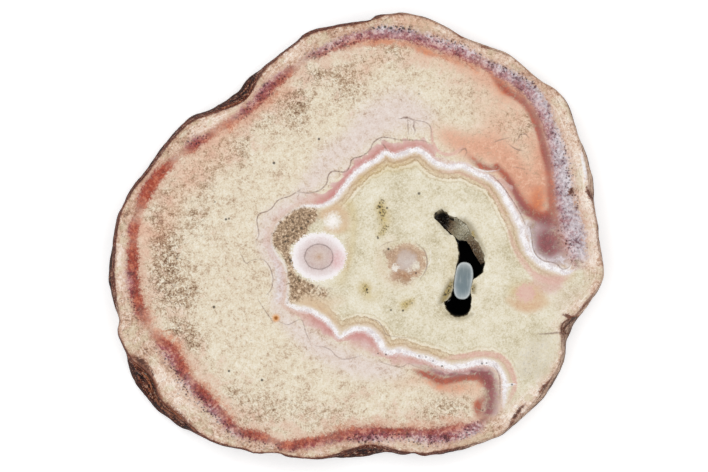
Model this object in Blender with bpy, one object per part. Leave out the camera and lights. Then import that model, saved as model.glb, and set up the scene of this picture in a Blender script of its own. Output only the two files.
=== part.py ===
"""Agate slice: a slab sawn across a rounded agate nodule, lying on its sawn back.

The polished face is up. The rough natural rind runs round the edge, and a crooked hollow goes
through the slab, with a grey chalcedony finger grown across it and small quartz crystals along
its blind arm. Lengths are written in millimetres, and MM turns them into Blender's metres.
"""
import math

import bmesh
import bpy
import numpy as np
from mathutils import Quaternion, Vector, noise

MM = 0.001

# The slab
SLAB_LENGTH = 120.0
THICKNESS = 8.0
BULGE_HEIGHT = 1.7  # height at which the rind reaches furthest out
BACK_CHAMFER = 0.5  # how far the sawn back's edge lies inside the rind
RIND_BULGE = 1.6  # over 1, so the rind swells out before it slopes in to the face
LEAST_SHELF = 0.2  # the least that the face's edge lies inside the rind
LUMP_DEPTH = 0.35  # depth of the hollows between the rind's lumps
SHELF_LUMPS = 0.15  # how much deeper they are for each mm that the rind slopes in
LUMP_SIZE = 4.0
LUMP_NOISE = (0.9, 2.1, 3)  # fractal exponent, ratio of one octave's size to the next, octaves
RIND_STATIONS = 240
RIND_HEIGHTS = (0.0, 0.7, BULGE_HEIGHT, 3.2, 4.8, 6.4, THICKNESS)

# The hollow
THROUGH_STATIONS = 84
THROAT_HEIGHT = 4.2  # below this height its walls are upright
OVERCUT = 1.0  # how far a cutter stands out of the slab
ARM_STATIONS = 26
# Half of the blind arm's cross-section: share of its half width, share of its depth from the floor
ARM_SECTION = ((0.5, 0.0), (0.75, 0.35), (1.0, 1.0))
ARM_OPEN_TOP = (1.0, 1.4)

# The chalcedony finger
FINGER_CENTRE = (25.8, -10.75)
FINGER_HALF_LENGTH = 4.55
FINGER_HALF_WIDTH = 2.35
FINGER_LEAN = math.radians(6.0)  # its upper end leans towards +X
FINGER_TOP = 7.85
FINGER_BOTTOM = 0.6
FINGER_ROUNDING = 0.45  # radius along its top and bottom edges
FINGER_POWER = 2.6  # exponent of the superellipse, 2 for an ellipse
FINGER_STATIONS = 40

# The crystals' crust
CRUST_GAP = 0.3  # between the crust and the stone
CRUST_SPARE = 0.1  # how far it reaches past its limit before it is trimmed
# Its surface from wall to middle: share of the half width, share of the depth from the floor
CRUST_SURFACE = ((0.9, 0.8), (0.45, 0.42), (0.0, 0.2))
CRUST_LIMIT = (0.95, 0.88)  # no crystal reaches past this corner
CRYSTAL_RADIUS = 0.5
CRYSTAL_LENGTH = 0.9
CRYSTAL_TAPER = 0.94  # upper radius over lower radius
CRYSTAL_POINT = 0.9  # height of the six-sided point over the radius
CRYSTAL_UNEVENNESS = 0.25  # in size, and in lean per unit of height
CRYSTAL_LEAN = 0.4  # to the middle of the arm, per unit of height
WIDE_ARM = 1.4  # half width of the arm above which crystals have their full size
CRYSTAL_ROWS = (-0.68, -0.24, 0.24, 0.68)  # places across the arm, over its half width
CRYSTALS_PER_ROW = 12
CRYSTALS_BEFORE_THROUGH = 5  # past these only the outer wall has room for crystals

# The rind's outline is drawn on a square grid, seen from above, with x to the right and y down. The
# grid's step follows from the slab's length, and the grid's middle is the middle of the slab.
GRID_LENGTH = 497.0
GRID_MIDDLE = (356.5, 236.2)
GRID_STEP = SLAB_LENGTH / GRID_LENGTH

# The outline, counter-clockwise, in steps of the grid: x and y where the rind reaches furthest
# out, and how far in from there the polished face begins. A smooth closed curve runs through it.
RIND = (
    (403, 12, 1), (390, 13, 1.5), (377, 14, 2), (369, 19, 2), (350, 22, 2), (327, 25.5, 3),
    (310, 30, 3), (302, 34, 3), (295, 41.5, 2), (285, 49, 1.5), (268, 62, 2.5), (260, 69, 3),
    (253, 73.5, 7), (246, 80, 10), (239, 89, 12), (229, 97, 10), (214, 106, 6), (200, 112, 5),
    (190, 116.5, 4.5), (179, 126, 4), (166, 141, 3.5), (149, 163, 4), (141, 175, 3.5),
    (133, 184, 3), (122, 204, 2), (116.5, 217, 2.5), (113, 235, 3), (110, 252, 4.5),
    (108.5, 268, 5), (108, 281, 6), (110, 293, 5), (114.5, 308, 3), (118.5, 320, 1),
    (116.5, 331, 1), (119.5, 341, 1), (125.5, 354, 2), (126.5, 365, 9), (131, 377, 15),
    (138, 389, 17), (145, 400, 14), (155, 409.5, 10), (169, 419.5, 9), (180, 428, 8),
    (190, 431.5, 5), (201, 437.5, 2), (221, 446, 1.5), (243, 450.5, 1.5), (257, 455, 1.5),
    (276, 454, 1), (290, 458, 1.5), (317, 460.5, 1.5), (334, 459.5, 4), (345, 458.5, 7),
    (366, 457, 11), (376, 454.5, 9), (392, 453.5, 4), (403, 456, 3.5), (413, 454, 1.5),
    (422, 457, 2), (432, 455.5, 3), (441, 456, 4), (452, 452.5, 3), (468, 449, 3),
    (488, 441.5, 2), (501, 436.5, 2), (512, 428, 2.5), (526, 415.5, 3), (541, 402, 5),
    (549, 393, 7), (557, 379, 5), (563, 367, 4), (566, 354, 3), (567, 342, 5), (571, 334, 11),
    (574.5, 326, 11), (578, 320, 5), (584, 313, 4), (591, 303, 4), (601, 286.5, 1.5),
    (605, 272, 1), (602.5, 255, 1.5), (600, 240, 2), (599, 225, 1.5), (595, 204, 2),
    (595, 192, 5), (593, 174, 5), (588, 157, 3), (579, 133, 2), (571, 109, 1.5), (565, 98, 1),
    (555, 88, 1), (540, 79, 1), (511, 55, 1), (494, 47.5, 2), (465, 37, 1), (448, 27, 1),
    (425, 16.5, 1),
)

# The through part of the hollow, counter-clockwise: x and y of its mouth in the polished face,
# then of its throat below. The finger fills the neck, where the two sides come close.
THROUGH = (
    (24.4, -2.6, 24.9, -3.1), (24.6, -4.5, 25.2, -4.5), (24.4, -6.3, 25.0, -6.2),
    (23.9, -8.2, 24.6, -8.2), (23.3, -10.3, 24.1, -10.6), (22.7, -12.0, 23.8, -12.5),
    (22.2, -13.6, 23.3, -14.0), (21.8, -15.0, 22.7, -15.2), (21.0, -16.5, 21.8, -16.5),
    (21.4, -17.8, 22.1, -17.3), (22.6, -19.0, 23.1, -18.3), (24.4, -19.5, 24.5, -18.9),
    (26.1, -19.4, 25.7, -18.8), (27.4, -18.7, 26.9, -18.2), (28.0, -17.3, 27.3, -16.8),
    (28.4, -15.9, 27.6, -15.6), (28.1, -14.7, 27.5, -14.7), (28.1, -13.0, 27.3, -12.7),
    (28.3, -11.1, 27.6, -10.8), (29.5, -10.0, 28.9, -9.8), (30.5, -8.9, 30.1, -8.6),
    (31.0, -7.4, 30.4, -7.3), (30.5, -5.5, 29.3, -5.7), (29.6, -3.6, 28.2, -4.1),
    (28.4, -1.9, 27.5, -2.6), (27.3, -0.4, 26.9, -1.3), (25.7, 0.0, 25.7, -1.0),
    (24.1, -0.8, 24.5, -1.2),
)

# The blind arm of the hollow, from its closed end to its tail beside the through part: x and y on
# its middle line, half its width at the face, and its depth.
ARM = (
    (19.3, 5.1, 0.6, 2.2), (20.2, 4.6, 1.2, 4.2), (21.6, 3.3, 1.5, 5.4), (23.4, 2.0, 1.9, 5.0),
    (25.4, 0.9, 2.1, 4.0), (27.2, -0.9, 1.8, 4.2), (28.6, -2.7, 1.5, 4.6), (29.6, -4.6, 1.2, 4.2),
    (30.2, -6.3, 0.8, 3.4), (30.5, -7.6, 0.6, 2.2),
)

STONE_COLOUR = (0.76, 0.66, 0.52, 1.0)
CRYSTAL_COLOUR = (0.30, 0.26, 0.20, 1.0)


def clear_scene():
    for obj in list(bpy.data.objects):
        bpy.data.objects.remove(obj, do_unlink=True)


def give_material(obj, colour, roughness):
    made = bpy.data.materials.new(obj.name)
    made.use_nodes = True
    shader = made.node_tree.nodes["Principled BSDF"]
    shader.inputs["Base Color"].default_value = colour
    shader.inputs["Roughness"].default_value = roughness
    shader.inputs["Metallic"].default_value = 0.0
    obj.data.materials.append(made)


def smooth_curve(points, count, closed):
    """A Catmull-Rom curve through the points, as count rows an even distance apart in x and y."""
    points = np.array(points, float)
    if closed:
        points = np.vstack([points[-1:], points, points[:2]])
    else:
        points = np.vstack([2 * points[0] - points[1], points, 2 * points[-1] - points[-2]])
    runs = points[:-3], points[1:-2], points[2:-1], points[3:]
    before, start, end, after = (run[:, None, :] for run in runs)
    t = np.linspace(0, 1, 16, endpoint=False)[None, :, None]
    spans = 0.5 * (
        2 * start
        + (end - before) * t
        + (2 * before - 5 * start + 4 * end - after) * t**2
        + (3 * start - before - 3 * end + after) * t**3
    )
    fine = np.vstack([spans.reshape(-1, points.shape[1]), points[-2:-1]])
    run = np.concatenate([[0], np.cumsum(np.hypot(*np.diff(fine[:, :2], axis=0).T))])
    wanted = np.linspace(0, run[-1], count, endpoint=not closed)
    return np.column_stack([np.interp(wanted, run, column) for column in fine.T])


def on_slab(points):
    """Points of the grid, each an x, a y and a length, in millimetres from the slab's middle."""
    x, y, length = np.array(points, float).T
    return GRID_STEP * np.column_stack([x - GRID_MIDDLE[0], GRID_MIDDLE[1] - y, length])


def left_of(directions):
    """Unit vectors a quarter turn to the left of these ones."""
    directions = directions / np.hypot(*directions.T)[:, None]
    return np.column_stack([-directions[:, 1], directions[:, 0]])


def at_height(outline, height):
    return [(x, y, height) for x, y in outline]


def new_object(name, form):
    mesh = bpy.data.meshes.new(name)
    bmesh.ops.recalc_face_normals(form, faces=form.faces)
    form.to_mesh(mesh)
    form.free()
    obj = bpy.data.objects.new(name, mesh)
    bpy.context.scene.collection.objects.link(obj)
    return obj


def loft(name, rings, smooth_sides=False):
    """A closed solid through rings of points, each ring joined to the next and both ends capped."""
    form = bmesh.new()
    rows = [[form.verts.new(Vector(point) * MM) for point in ring] for ring in rings]
    for row, next_row in zip(rows, rows[1:]):
        for i in range(len(row)):
            j = (i + 1) % len(row)
            side = form.faces.new((row[i], row[j], next_row[j], next_row[i]))
            side.smooth = smooth_sides
    form.faces.new(rows[0][::-1])
    form.faces.new(rows[-1])
    return new_object(name, form)


def as_helper(obj):
    obj.hide_render = True
    obj.display_type = "WIRE"
    return obj


def boolean(obj, operation, tool):
    """Adds a Boolean whose tool is one object or a whole collection. The crystals cross one another,
    so every Boolean also sorts out where a mesh crosses itself."""
    modifier = obj.modifiers.new(f"{operation} {tool.name}", "BOOLEAN")
    modifier.operation = operation
    modifier.use_self = True
    if isinstance(tool, bpy.types.Collection):
        modifier.operand_type = "COLLECTION"
        modifier.collection = tool
    else:
        modifier.object = tool


def slab():
    """The nodule's cross-section: flat sawn sides, and a lumpy rind that slopes in to the face."""
    rind = smooth_curve(on_slab(RIND), RIND_STATIONS, closed=True)
    outline = rind[:, :2]
    shelf = np.maximum(rind[:, 2], LEAST_SHELF)
    inwards = left_of(np.roll(outline, -1, axis=0) - np.roll(outline, 1, axis=0))
    rings = []
    for height in RIND_HEIGHTS:
        if height < BULGE_HEIGHT:
            inset = np.full(RIND_STATIONS, BACK_CHAMFER * (1 - height / BULGE_HEIGHT) ** 2)
        else:
            inset = shelf * ((height - BULGE_HEIGHT) / (THICKNESS - BULGE_HEIGHT)) ** RIND_BULGE
        if height not in (0.0, BULGE_HEIGHT, THICKNESS):
            places = [Vector((x, y, 1.7 * height)) / LUMP_SIZE for x, y in outline]
            lumps = np.array([noise.fractal(place, *LUMP_NOISE) for place in places])
            inset += (LUMP_DEPTH + SHELF_LUMPS * shelf) * np.clip(0.4 - 0.9 * lumps, 0, 1.4)
        rings.append(at_height(outline + inwards * inset[:, None], height))
    return loft("agate_slice", rings, smooth_sides=True)


def through_cutter():
    """The through part of the hollow, whose mouth narrows to a throat that runs out of the back."""
    walls = smooth_curve(THROUGH, THROUGH_STATIONS, closed=True)
    mouth, throat = walls[:, :2], walls[:, 2:]
    flare = (mouth - throat) / (THICKNESS - THROAT_HEIGHT)
    rings = [
        at_height(throat, -OVERCUT),
        at_height(throat, THROAT_HEIGHT),
        at_height(mouth + flare * OVERCUT, THICKNESS + OVERCUT),
    ]
    return as_helper(loft("through_cutter", rings))


def throat_cutter():
    """The throat carried straight up, to keep the crust from hanging over it."""
    throat = smooth_curve(THROUGH, THROUGH_STATIONS, closed=True)[:, 2:]
    rings = [at_height(throat, -OVERCUT), at_height(throat, THICKNESS + OVERCUT)]
    return as_helper(loft("throat_cutter", rings))


def arm_sweep(name, section, gap):
    """A solid carried along the arm. section gives its corners as shares of the arm's half width
    and of its depth, from the floor up, and gap draws the arm's walls and floor inwards."""
    arm = smooth_curve(ARM, ARM_STATIONS, closed=False)
    along = np.gradient(arm[:, :2], axis=0)
    across = left_of(along)
    ends = np.zeros(ARM_STATIONS)
    ends[0], ends[-1] = gap, -gap
    middle = arm[:, :2] + along / np.hypot(*along.T)[:, None] * ends[:, None]
    half = arm[:, 2] - gap
    floor = THICKNESS - arm[:, 3] + gap
    rings = []
    for station in range(ARM_STATIONS):
        ring = []
        for side, lift in section:
            x, y = middle[station] + across[station] * half[station] * side
            ring.append((x, y, floor[station] + lift * (THICKNESS - floor[station])))
        rings.append(ring)
    return loft(name, rings)


def both_sides(half):
    """A closed cross-section from its right half, given from the floor up, and the mirror of it."""
    mirrored = [(-side, lift) for side, lift in half[::-1] if side]
    return [*half, *mirrored]


def finger():
    """The chalcedony finger's sawn end: an upright superelliptic pillar with rounded edges."""
    angle = np.linspace(0, 2 * math.pi, FINGER_STATIONS, endpoint=False)
    wide = np.sign(np.cos(angle)) * np.abs(np.cos(angle)) ** (2 / FINGER_POWER)
    long = np.sign(np.sin(angle)) * np.abs(np.sin(angle)) ** (2 / FINGER_POWER)
    turn = np.linspace(0, math.pi / 2, 4)
    drawn_in = FINGER_ROUNDING * (1 - np.sin(turn))
    rounding = FINGER_ROUNDING * (1 - np.cos(turn))
    heights = [*(FINGER_BOTTOM + rounding), *(FINGER_TOP - rounding[::-1])]
    rings = []
    for height, inset in zip(heights, [*drawn_in, *drawn_in[::-1]]):
        x = wide * (FINGER_HALF_WIDTH - inset)
        y = long * (FINGER_HALF_LENGTH - inset)
        leaning_x = FINGER_CENTRE[0] + x * math.cos(FINGER_LEAN) + y * math.sin(FINGER_LEAN)
        leaning_y = FINGER_CENTRE[1] + y * math.cos(FINGER_LEAN) - x * math.sin(FINGER_LEAN)
        rings.append(at_height(zip(leaning_x, leaning_y), height))
    return as_helper(loft("finger", rings, smooth_sides=True))


def crystal(name, foot, pointing, size, turn):
    """A hexagonal quartz prism with a six-sided point, its middle at foot."""
    form = bmesh.new()
    radius = CRYSTAL_RADIUS * size * MM
    bmesh.ops.create_cone(
        form,
        cap_ends=True,
        segments=6,
        radius1=radius,
        radius2=CRYSTAL_TAPER * radius,
        depth=CRYSTAL_LENGTH * size * MM,
    )
    top = max(form.faces, key=lambda face: face.calc_center_median().z)
    bmesh.ops.poke(form, faces=[top], offset=CRYSTAL_POINT * radius)
    obj = new_object(name, form)
    obj.location = Vector(foot) * MM
    obj.rotation_mode = "QUATERNION"
    obj.rotation_quaternion = pointing.to_track_quat("Z", "Y") @ Quaternion((0.0, 0.0, 1.0), turn)
    return as_helper(obj)


def crystals():
    """Rows of crystals along the arm, leaning to its middle, their sizes and leans uneven."""
    group = bpy.data.collections.new("crystals")
    bpy.context.scene.collection.children.link(group)
    arm = smooth_curve(ARM, 2 * CRYSTALS_PER_ROW + 5, closed=False)
    across = left_of(np.gradient(arm[:, :2], axis=0))
    shares, lifts = zip(*CRUST_SURFACE[::-1])
    for row, side in enumerate(CRYSTAL_ROWS):
        steps = CRYSTALS_PER_ROW if side == max(CRYSTAL_ROWS) else CRYSTALS_BEFORE_THROUGH
        for step in range(steps):
            station = 2 * step + 2 + row % 2
            uneven = CRYSTAL_UNEVENNESS * math.sin(12.9 * station + 5.3 * row)
            x, y = arm[station, :2] + across[station] * (arm[station, 2] - CRUST_GAP) * side
            depth = arm[station, 3] - CRUST_GAP
            lift = np.interp(abs(side), shares, lifts)
            foot = (x, y, THICKNESS - depth * (1 - lift))
            inwards = Vector((*(-across[station] * side), 0.0))
            pointing = Vector((uneven, -uneven, 1.0)) + inwards * CRYSTAL_LEAN
            size = (1 + uneven) * min(arm[station, 2] / WIDE_ARM, 1.0)
            obj = crystal(f"crystal_{row}_{step:02d}", foot, pointing, size, 2.4 * station)
            bpy.context.scene.collection.objects.unlink(obj)
            group.objects.link(obj)
    return group


def agate_slice():
    """The stone: the slab with its hollow cut, and the finger grown across the hollow."""
    stone = slab()
    boolean(stone, "DIFFERENCE", through_cutter())
    arm_cutter = arm_sweep("arm_cutter", both_sides([*ARM_SECTION, ARM_OPEN_TOP]), 0.0)
    boolean(stone, "DIFFERENCE", as_helper(arm_cutter))
    boolean(stone, "UNION", finger())
    give_material(stone, STONE_COLOUR, 0.2)


def druse_crust():
    """The crystals and the thin crust they stand on, lining the arm just clear of the stone."""
    lining = both_sides([*ARM_SECTION[:2], *CRUST_SURFACE])
    crust = arm_sweep("druse_crust", lining, CRUST_GAP - CRUST_SPARE)
    limit = arm_sweep("crust_limit", both_sides([*ARM_SECTION[:2], CRUST_LIMIT]), CRUST_GAP)
    boolean(crust, "DIFFERENCE", throat_cutter())
    boolean(crust, "UNION", crystals())
    boolean(crust, "INTERSECT", as_helper(limit))
    give_material(crust, CRYSTAL_COLOUR, 0.25)


clear_scene()
agate_slice()
druse_crust()
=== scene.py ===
"""The looks of a polished agate slice, laid on its sawn back on a white sheet.

The slice, its chalcedony finger and its druse of small quartz crystals are made here in that
order, then the sheet, the lamps and the camera. Outlines, bands and stains are drawn in steps of a
grid over the slice. All other lengths are in millimetres unless a comment says otherwise, and MM
turns them into metres where a mesh is made.
"""

import bpy
import numpy as np
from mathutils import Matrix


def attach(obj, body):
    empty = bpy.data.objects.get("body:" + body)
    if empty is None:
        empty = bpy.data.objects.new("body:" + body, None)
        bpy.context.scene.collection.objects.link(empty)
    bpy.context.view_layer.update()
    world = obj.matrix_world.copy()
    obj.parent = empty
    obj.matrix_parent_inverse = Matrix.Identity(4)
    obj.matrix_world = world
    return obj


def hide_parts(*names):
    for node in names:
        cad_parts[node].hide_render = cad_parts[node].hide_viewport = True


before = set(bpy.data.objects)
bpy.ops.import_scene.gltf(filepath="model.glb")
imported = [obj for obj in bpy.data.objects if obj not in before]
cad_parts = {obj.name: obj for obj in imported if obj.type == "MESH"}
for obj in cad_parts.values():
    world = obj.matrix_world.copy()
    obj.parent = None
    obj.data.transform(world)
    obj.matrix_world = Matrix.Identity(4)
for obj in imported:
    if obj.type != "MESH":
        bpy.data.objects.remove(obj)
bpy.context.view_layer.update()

MM = 0.001


# ---- The slice: shape -------------------------------------------------------------------------
# A slab of agate sawn across a rounded nodule. The face is ground flat and polished, the back is
# left from the saw, the rough rind runs round the edge, and a crooked hollow goes right through.

SLAB_LENGTH = 120.0
THICKNESS = 8.0
WORN_EDGE = 0.12  # how far the face's edge is rubbed down
WORN_TURN = (0.04, 0.03)  # the middle of its rounding: how far in from the rind and down it lies
RIND_TOP = THICKNESS - 0.1
BULGE_HEIGHT = 1.7  # height at which the rind reaches furthest out
BACK_CHAMFER = 0.5
RIND_BULGE = 1.6
LUMP_DEPTH = 0.3
SHELF_LUMPS = 0.16  # how much deeper the lumps are for each mm that the rind slopes in
LEAST_SHELF = 0.2
MOUTH_RAGGED = 0.26  # how far the hollow's mouth strays from its drawn line
WALL_PITS = 0.16
THROAT_HEIGHT = 4.2
LIP_HEIGHT = THICKNESS - 0.35  # where the hollow's wall turns into its worn lip
HUB = (26.0, -8.0)  # the middle of the hollow, from which the spokes of the slice are counted
SPOKES = 640
FACE_ROWS = 104
RIND_ROWS = 15
BACK_ROWS = 12
WALL_ROWS = 16
LATTICE = 32  # corners of the noise's lattice each way, after which it repeats
LATTICE_SHIFT = 200.0  # from the lattice's first corner to the slab's middle

# Outlines, bands and stains are drawn on one square grid, seen from above, with x to the right and y
# down. Its step follows from the slab's length, and its middle is the middle of the slab.
GRID_LENGTH = 497.0
GRID_MIDDLE = (356.5, 236.2)
GRID_STEP = SLAB_LENGTH / GRID_LENGTH

# The rind, counter-clockwise, in steps of the grid: x and y where it reaches furthest out, and how
# far in from there the polished face begins.
RIND = (
    (403, 12, 1), (390, 13, 1.5), (377, 14, 2), (369, 19, 2), (350, 22, 2), (327, 25.5, 3),
    (310, 30, 3), (302, 34, 3), (295, 41.5, 2), (285, 49, 1.5), (268, 62, 2.5), (260, 69, 3),
    (253, 73.5, 7), (246, 80, 10), (239, 89, 12), (229, 97, 10), (214, 106, 6), (200, 112, 5),
    (190, 116.5, 4.5), (179, 126, 4), (166, 141, 3.5), (149, 163, 4), (141, 175, 3.5),
    (133, 184, 3), (122, 204, 2), (116.5, 217, 2.5), (113, 235, 3), (110, 252, 4.5),
    (108.5, 268, 5), (108, 281, 6), (110, 293, 5), (114.5, 308, 3), (118.5, 320, 1),
    (116.5, 331, 1), (119.5, 341, 1), (125.5, 354, 2), (126.5, 365, 9), (131, 377, 15),
    (138, 389, 17), (145, 400, 14), (155, 409.5, 10), (169, 419.5, 9), (180, 428, 8),
    (190, 431.5, 5), (201, 437.5, 2), (221, 446, 1.5), (243, 450.5, 1.5), (257, 455, 1.5),
    (276, 454, 1), (290, 458, 1.5), (317, 460.5, 1.5), (334, 459.5, 4), (345, 458.5, 7),
    (366, 457, 11), (376, 454.5, 9), (392, 453.5, 4), (403, 456, 3.5), (413, 454, 1.5),
    (422, 457, 2), (432, 455.5, 3), (441, 456, 4), (452, 452.5, 3), (468, 449, 3),
    (488, 441.5, 2), (501, 436.5, 2), (512, 428, 2.5), (526, 415.5, 3), (541, 402, 5),
    (549, 393, 7), (557, 379, 5), (563, 367, 4), (566, 354, 3), (567, 342, 5), (571, 334, 11),
    (574.5, 326, 11), (578, 320, 5), (584, 313, 4), (591, 303, 4), (601, 286.5, 1.5),
    (605, 272, 1), (602.5, 255, 1.5), (600, 240, 2), (599, 225, 1.5), (595, 204, 2),
    (595, 192, 5), (593, 174, 5), (588, 157, 3), (579, 133, 2), (571, 109, 1.5), (565, 98, 1),
    (555, 88, 1), (540, 79, 1), (511, 55, 1), (494, 47.5, 2), (465, 37, 1), (448, 27, 1),
    (425, 16.5, 1),
)

# The hollow, counter-clockwise: x and y of its mouth in the face and of its throat below on the
# grid, how many mm its wall dips under the straight line between them, and the bearing in degrees
# at which the spoke from there meets the rind.
HOLLOW = (
    (441, 209.7, 460, 241.2, 1.6, 100), (437, 211.2, 459, 241.2, 1.9, 113),
    (434.2, 215, 458.5, 241.6, 1.9, 130), (434.5, 218.8, 458.2, 242, 1.8, 145),
    (438.5, 222.5, 458, 242.8, 1.7, 155), (443.5, 228, 458.6, 244, 1.5, 161),
    (448, 232, 459.2, 245.6, 1.2, 165), (452.5, 235.5, 459.6, 247, .8, 168),
    (456, 240, 459.9, 248.5, .3, 171), (457.2, 246, 460.2, 251, 0, 174), (458, 252, 460.9, 254.5, 0, 178),
    (458.3, 258, 460.6, 259, 0, 182), (457, 264, 459.5, 264, 0, 186), (455.6, 270, 457.4, 270.2, 0, 189),
    (454.4, 276, 456, 279, 0, 192), (453.6, 283, 455.4, 287, 0, 195), (452.8, 289.5, 454, 293, 0, 200),
    (450.5, 296, 452, 298.5, 0, 205), (444.5, 301.5, 447.5, 302, 0, 211),
    (444.5, 306, 447.3, 306.5, 0, 219), (447, 311, 449.3, 309.6, 0, 231),
    (452, 315.2, 453.5, 313.2, 0, 248), (459, 317, 458.5, 314.6, 0, 270),
    (466, 315.3, 464, 313.8, 0, 291), (470, 311.8, 468, 311, 0, 306), (471, 306, 470, 305, 0, 314),
    (471.6, 300, 470.4, 299.5, 0, 321), (471.2, 294, 470, 294, 0, 327), (471.5, 288, 470.4, 288, 0, 332),
    (472, 284, 470.8, 283.5, 0, 336), (474.2, 279, 472.6, 279.5, 0, 341),
    (480, 275.3, 477.5, 276, 0, 347), (483, 271, 481, 272, 0, 353), (484.4, 265, 482.2, 267, .2, 359),
    (484.4, 258, 479, 259.5, .6, 367), (483, 251, 475.5, 254, .9, 374),
    (479.6, 245, 472.2, 248.5, 1.1, 383), (475.2, 239.8, 469.6, 244.6, 1.2, 393),
    (471, 235, 467.8, 242.2, 1.3, 403), (469.5, 229.3, 466.2, 241.4, 1.5, 413),
    (466, 223.8, 464.6, 241, 1.7, 423), (461, 220.2, 463, 240.8, 1.8, 434),
    (455, 217.7, 462, 240.8, 1.8, 444), (449, 215.6, 461.2, 240.9, 1.7, 452),
    (445, 211.6, 460.5, 241, 1.6, 457),
)


def on_slab(rows, places=1, lengths=1):
    """Rows of the grid in millimetres from the slab's middle. Each row begins with its places, an x
    and a y each, and then its lengths, and its other columns stay as they are."""
    rows = np.array(rows, float)
    for column in range(0, 2 * places, 2):
        rows[:, column] -= GRID_MIDDLE[0]
        rows[:, column + 1] = GRID_MIDDLE[1] - rows[:, column + 1]
    rows[:, : 2 * places + lengths] *= GRID_STEP
    return rows


def smooth_curve(points, count, closed):
    """A Catmull-Rom curve: between two points each column is the cubic whose slope at either end is
    half the step between that point's two neighbours. Gives count rows, evenly spaced in x and y."""
    points = np.array(points, float)
    if closed:
        points = np.vstack([points[-1:], points, points[:2]])
    else:
        points = np.vstack([2 * points[0] - points[1], points, 2 * points[-1] - points[-2]])
    runs = points[:-3], points[1:-2], points[2:-1], points[3:]
    before, start, end, after = (run[:, None, :] for run in runs)
    t = np.linspace(0, 1, 16, endpoint=False)[None, :, None]
    spans = 0.5 * (
        2 * start
        + (end - before) * t
        + (2 * before - 5 * start + 4 * end - after) * t**2
        + (3 * start - before - 3 * end + after) * t**3
    )
    fine = np.vstack([spans.reshape(-1, points.shape[1]), points[-2:-1]])
    run = np.concatenate([[0], np.cumsum(np.hypot(*np.diff(fine[:, :2], axis=0).T))])
    wanted = np.linspace(0, run[-1], count, endpoint=not closed)
    return np.column_stack([np.interp(wanted, run, column) for column in fine.T])


def lumps(places, size, seed):
    """Smooth noise from -1 to 1: random values on a lattice of the given size, blended between its
    corners by 3t^2 - 2t^3, plus the same at half the size and half the strength."""
    table = np.random.default_rng(seed).uniform(-1, 1, (LATTICE,) * 3)
    total = 0.0
    for step, strength in ((size, 0.67), (size / 2, 0.33)):
        place = (places + LATTICE_SHIFT) / step
        corner = np.floor(place).astype(int)
        part = place - corner
        part = part * part * (3 - 2 * part)
        for dx, dy, dz in np.ndindex(2, 2, 2):
            share = np.prod(np.where((dx, dy, dz), part, 1 - part), axis=-1)
            x, y, z = np.moveaxis((corner + (dx, dy, dz)) % LATTICE, -1, 0)
            total = total + strength * share * table[x, y, z]
    return total


def grid_piece(name, rows, wrap_rows=False):
    """A closed mesh from a grid of points, rows by columns by xyz, in millimetres. Each row closes
    on itself. With wrap_rows the last row joins the first, and without it each end is capped.
    Turning from the next row to the next column gives the outward side."""
    height, width = rows.shape[:2]
    index = np.arange(height * width).reshape(height, width)
    near = index if wrap_rows else index[:-1]
    far = np.roll(index, -1, axis=0) if wrap_rows else index[1:]
    quads = np.stack([near, far, np.roll(far, -1, 1), np.roll(near, -1, 1)], -1)
    corners = quads.ravel()
    starts = np.arange(0, corners.size, 4)
    if not wrap_rows:
        starts = np.concatenate([starts, [corners.size, corners.size + width]])
        corners = np.concatenate([corners, index[0], index[-1, ::-1]])
    mesh = bpy.data.meshes.new(name)
    mesh.vertices.add(height * width)
    mesh.vertices.foreach_set("co", (rows.reshape(-1, 3) * MM).astype(np.float32).ravel())
    mesh.loops.add(corners.size)
    mesh.loops.foreach_set("vertex_index", corners)
    mesh.polygons.add(len(starts))
    mesh.polygons.foreach_set("loop_start", starts)
    mesh.polygons.foreach_set("use_smooth", np.ones(len(starts), bool))
    mesh.update(calc_edges=True)
    piece = bpy.data.objects.new(name, mesh)
    bpy.context.scene.collection.objects.link(piece)
    return piece


def spokes():
    """Where each spoke leaves the hollow and meets the rind: arrays of mouth, throat, dip, outline,
    inward direction and shelf, which is how far in from the outline the face begins. The spokes are
    spread by 0.35 of the run along the mouth and 0.65 of the run along the rind, so that neither is
    left coarse."""
    rind = smooth_curve(on_slab(RIND), count=4000, closed=True)
    along = np.roll(rind[:, :2], -1, axis=0) - np.roll(rind[:, :2], 1, axis=0)
    inwards = np.column_stack([-along[:, 1], along[:, 0]]) / np.hypot(*along.T)[:, None]
    bearing = np.arctan2(rind[:, 1] - HUB[1], rind[:, 0] - HUB[0])
    order = np.argsort(bearing)
    hollow = on_slab(HOLLOW, places=2, lengths=0)
    turn = np.radians(hollow[:, 5])
    table = np.column_stack([hollow[:, :5], np.cos(turn), np.sin(turn)])
    fine = smooth_curve(table, count=6000, closed=True)
    aim = np.arctan2(fine[:, 6], fine[:, 5])
    far = np.column_stack([rind, inwards])
    met = [np.interp(aim, bearing[order], column[order], period=2 * np.pi) for column in far.T]
    fine = np.column_stack([fine[:, :5], *met])
    share = 0.0
    for columns, weight in (([0, 1], 0.35), ([5, 6], 0.65)):
        steps = np.hypot(*(fine[:, columns] - np.roll(fine[:, columns], 1, axis=0)).T)
        steps[0] = 0
        share = share + weight * np.cumsum(steps) / steps.sum()
    wanted = np.linspace(0, 1, SPOKES, endpoint=False)
    chosen = np.column_stack([np.interp(wanted, share, column) for column in fine.T])
    return chosen[:, :2], chosen[:, 2:4], chosen[:, 4], chosen[:, 5:7], chosen[:, 8:10], chosen[:, 7]


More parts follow.
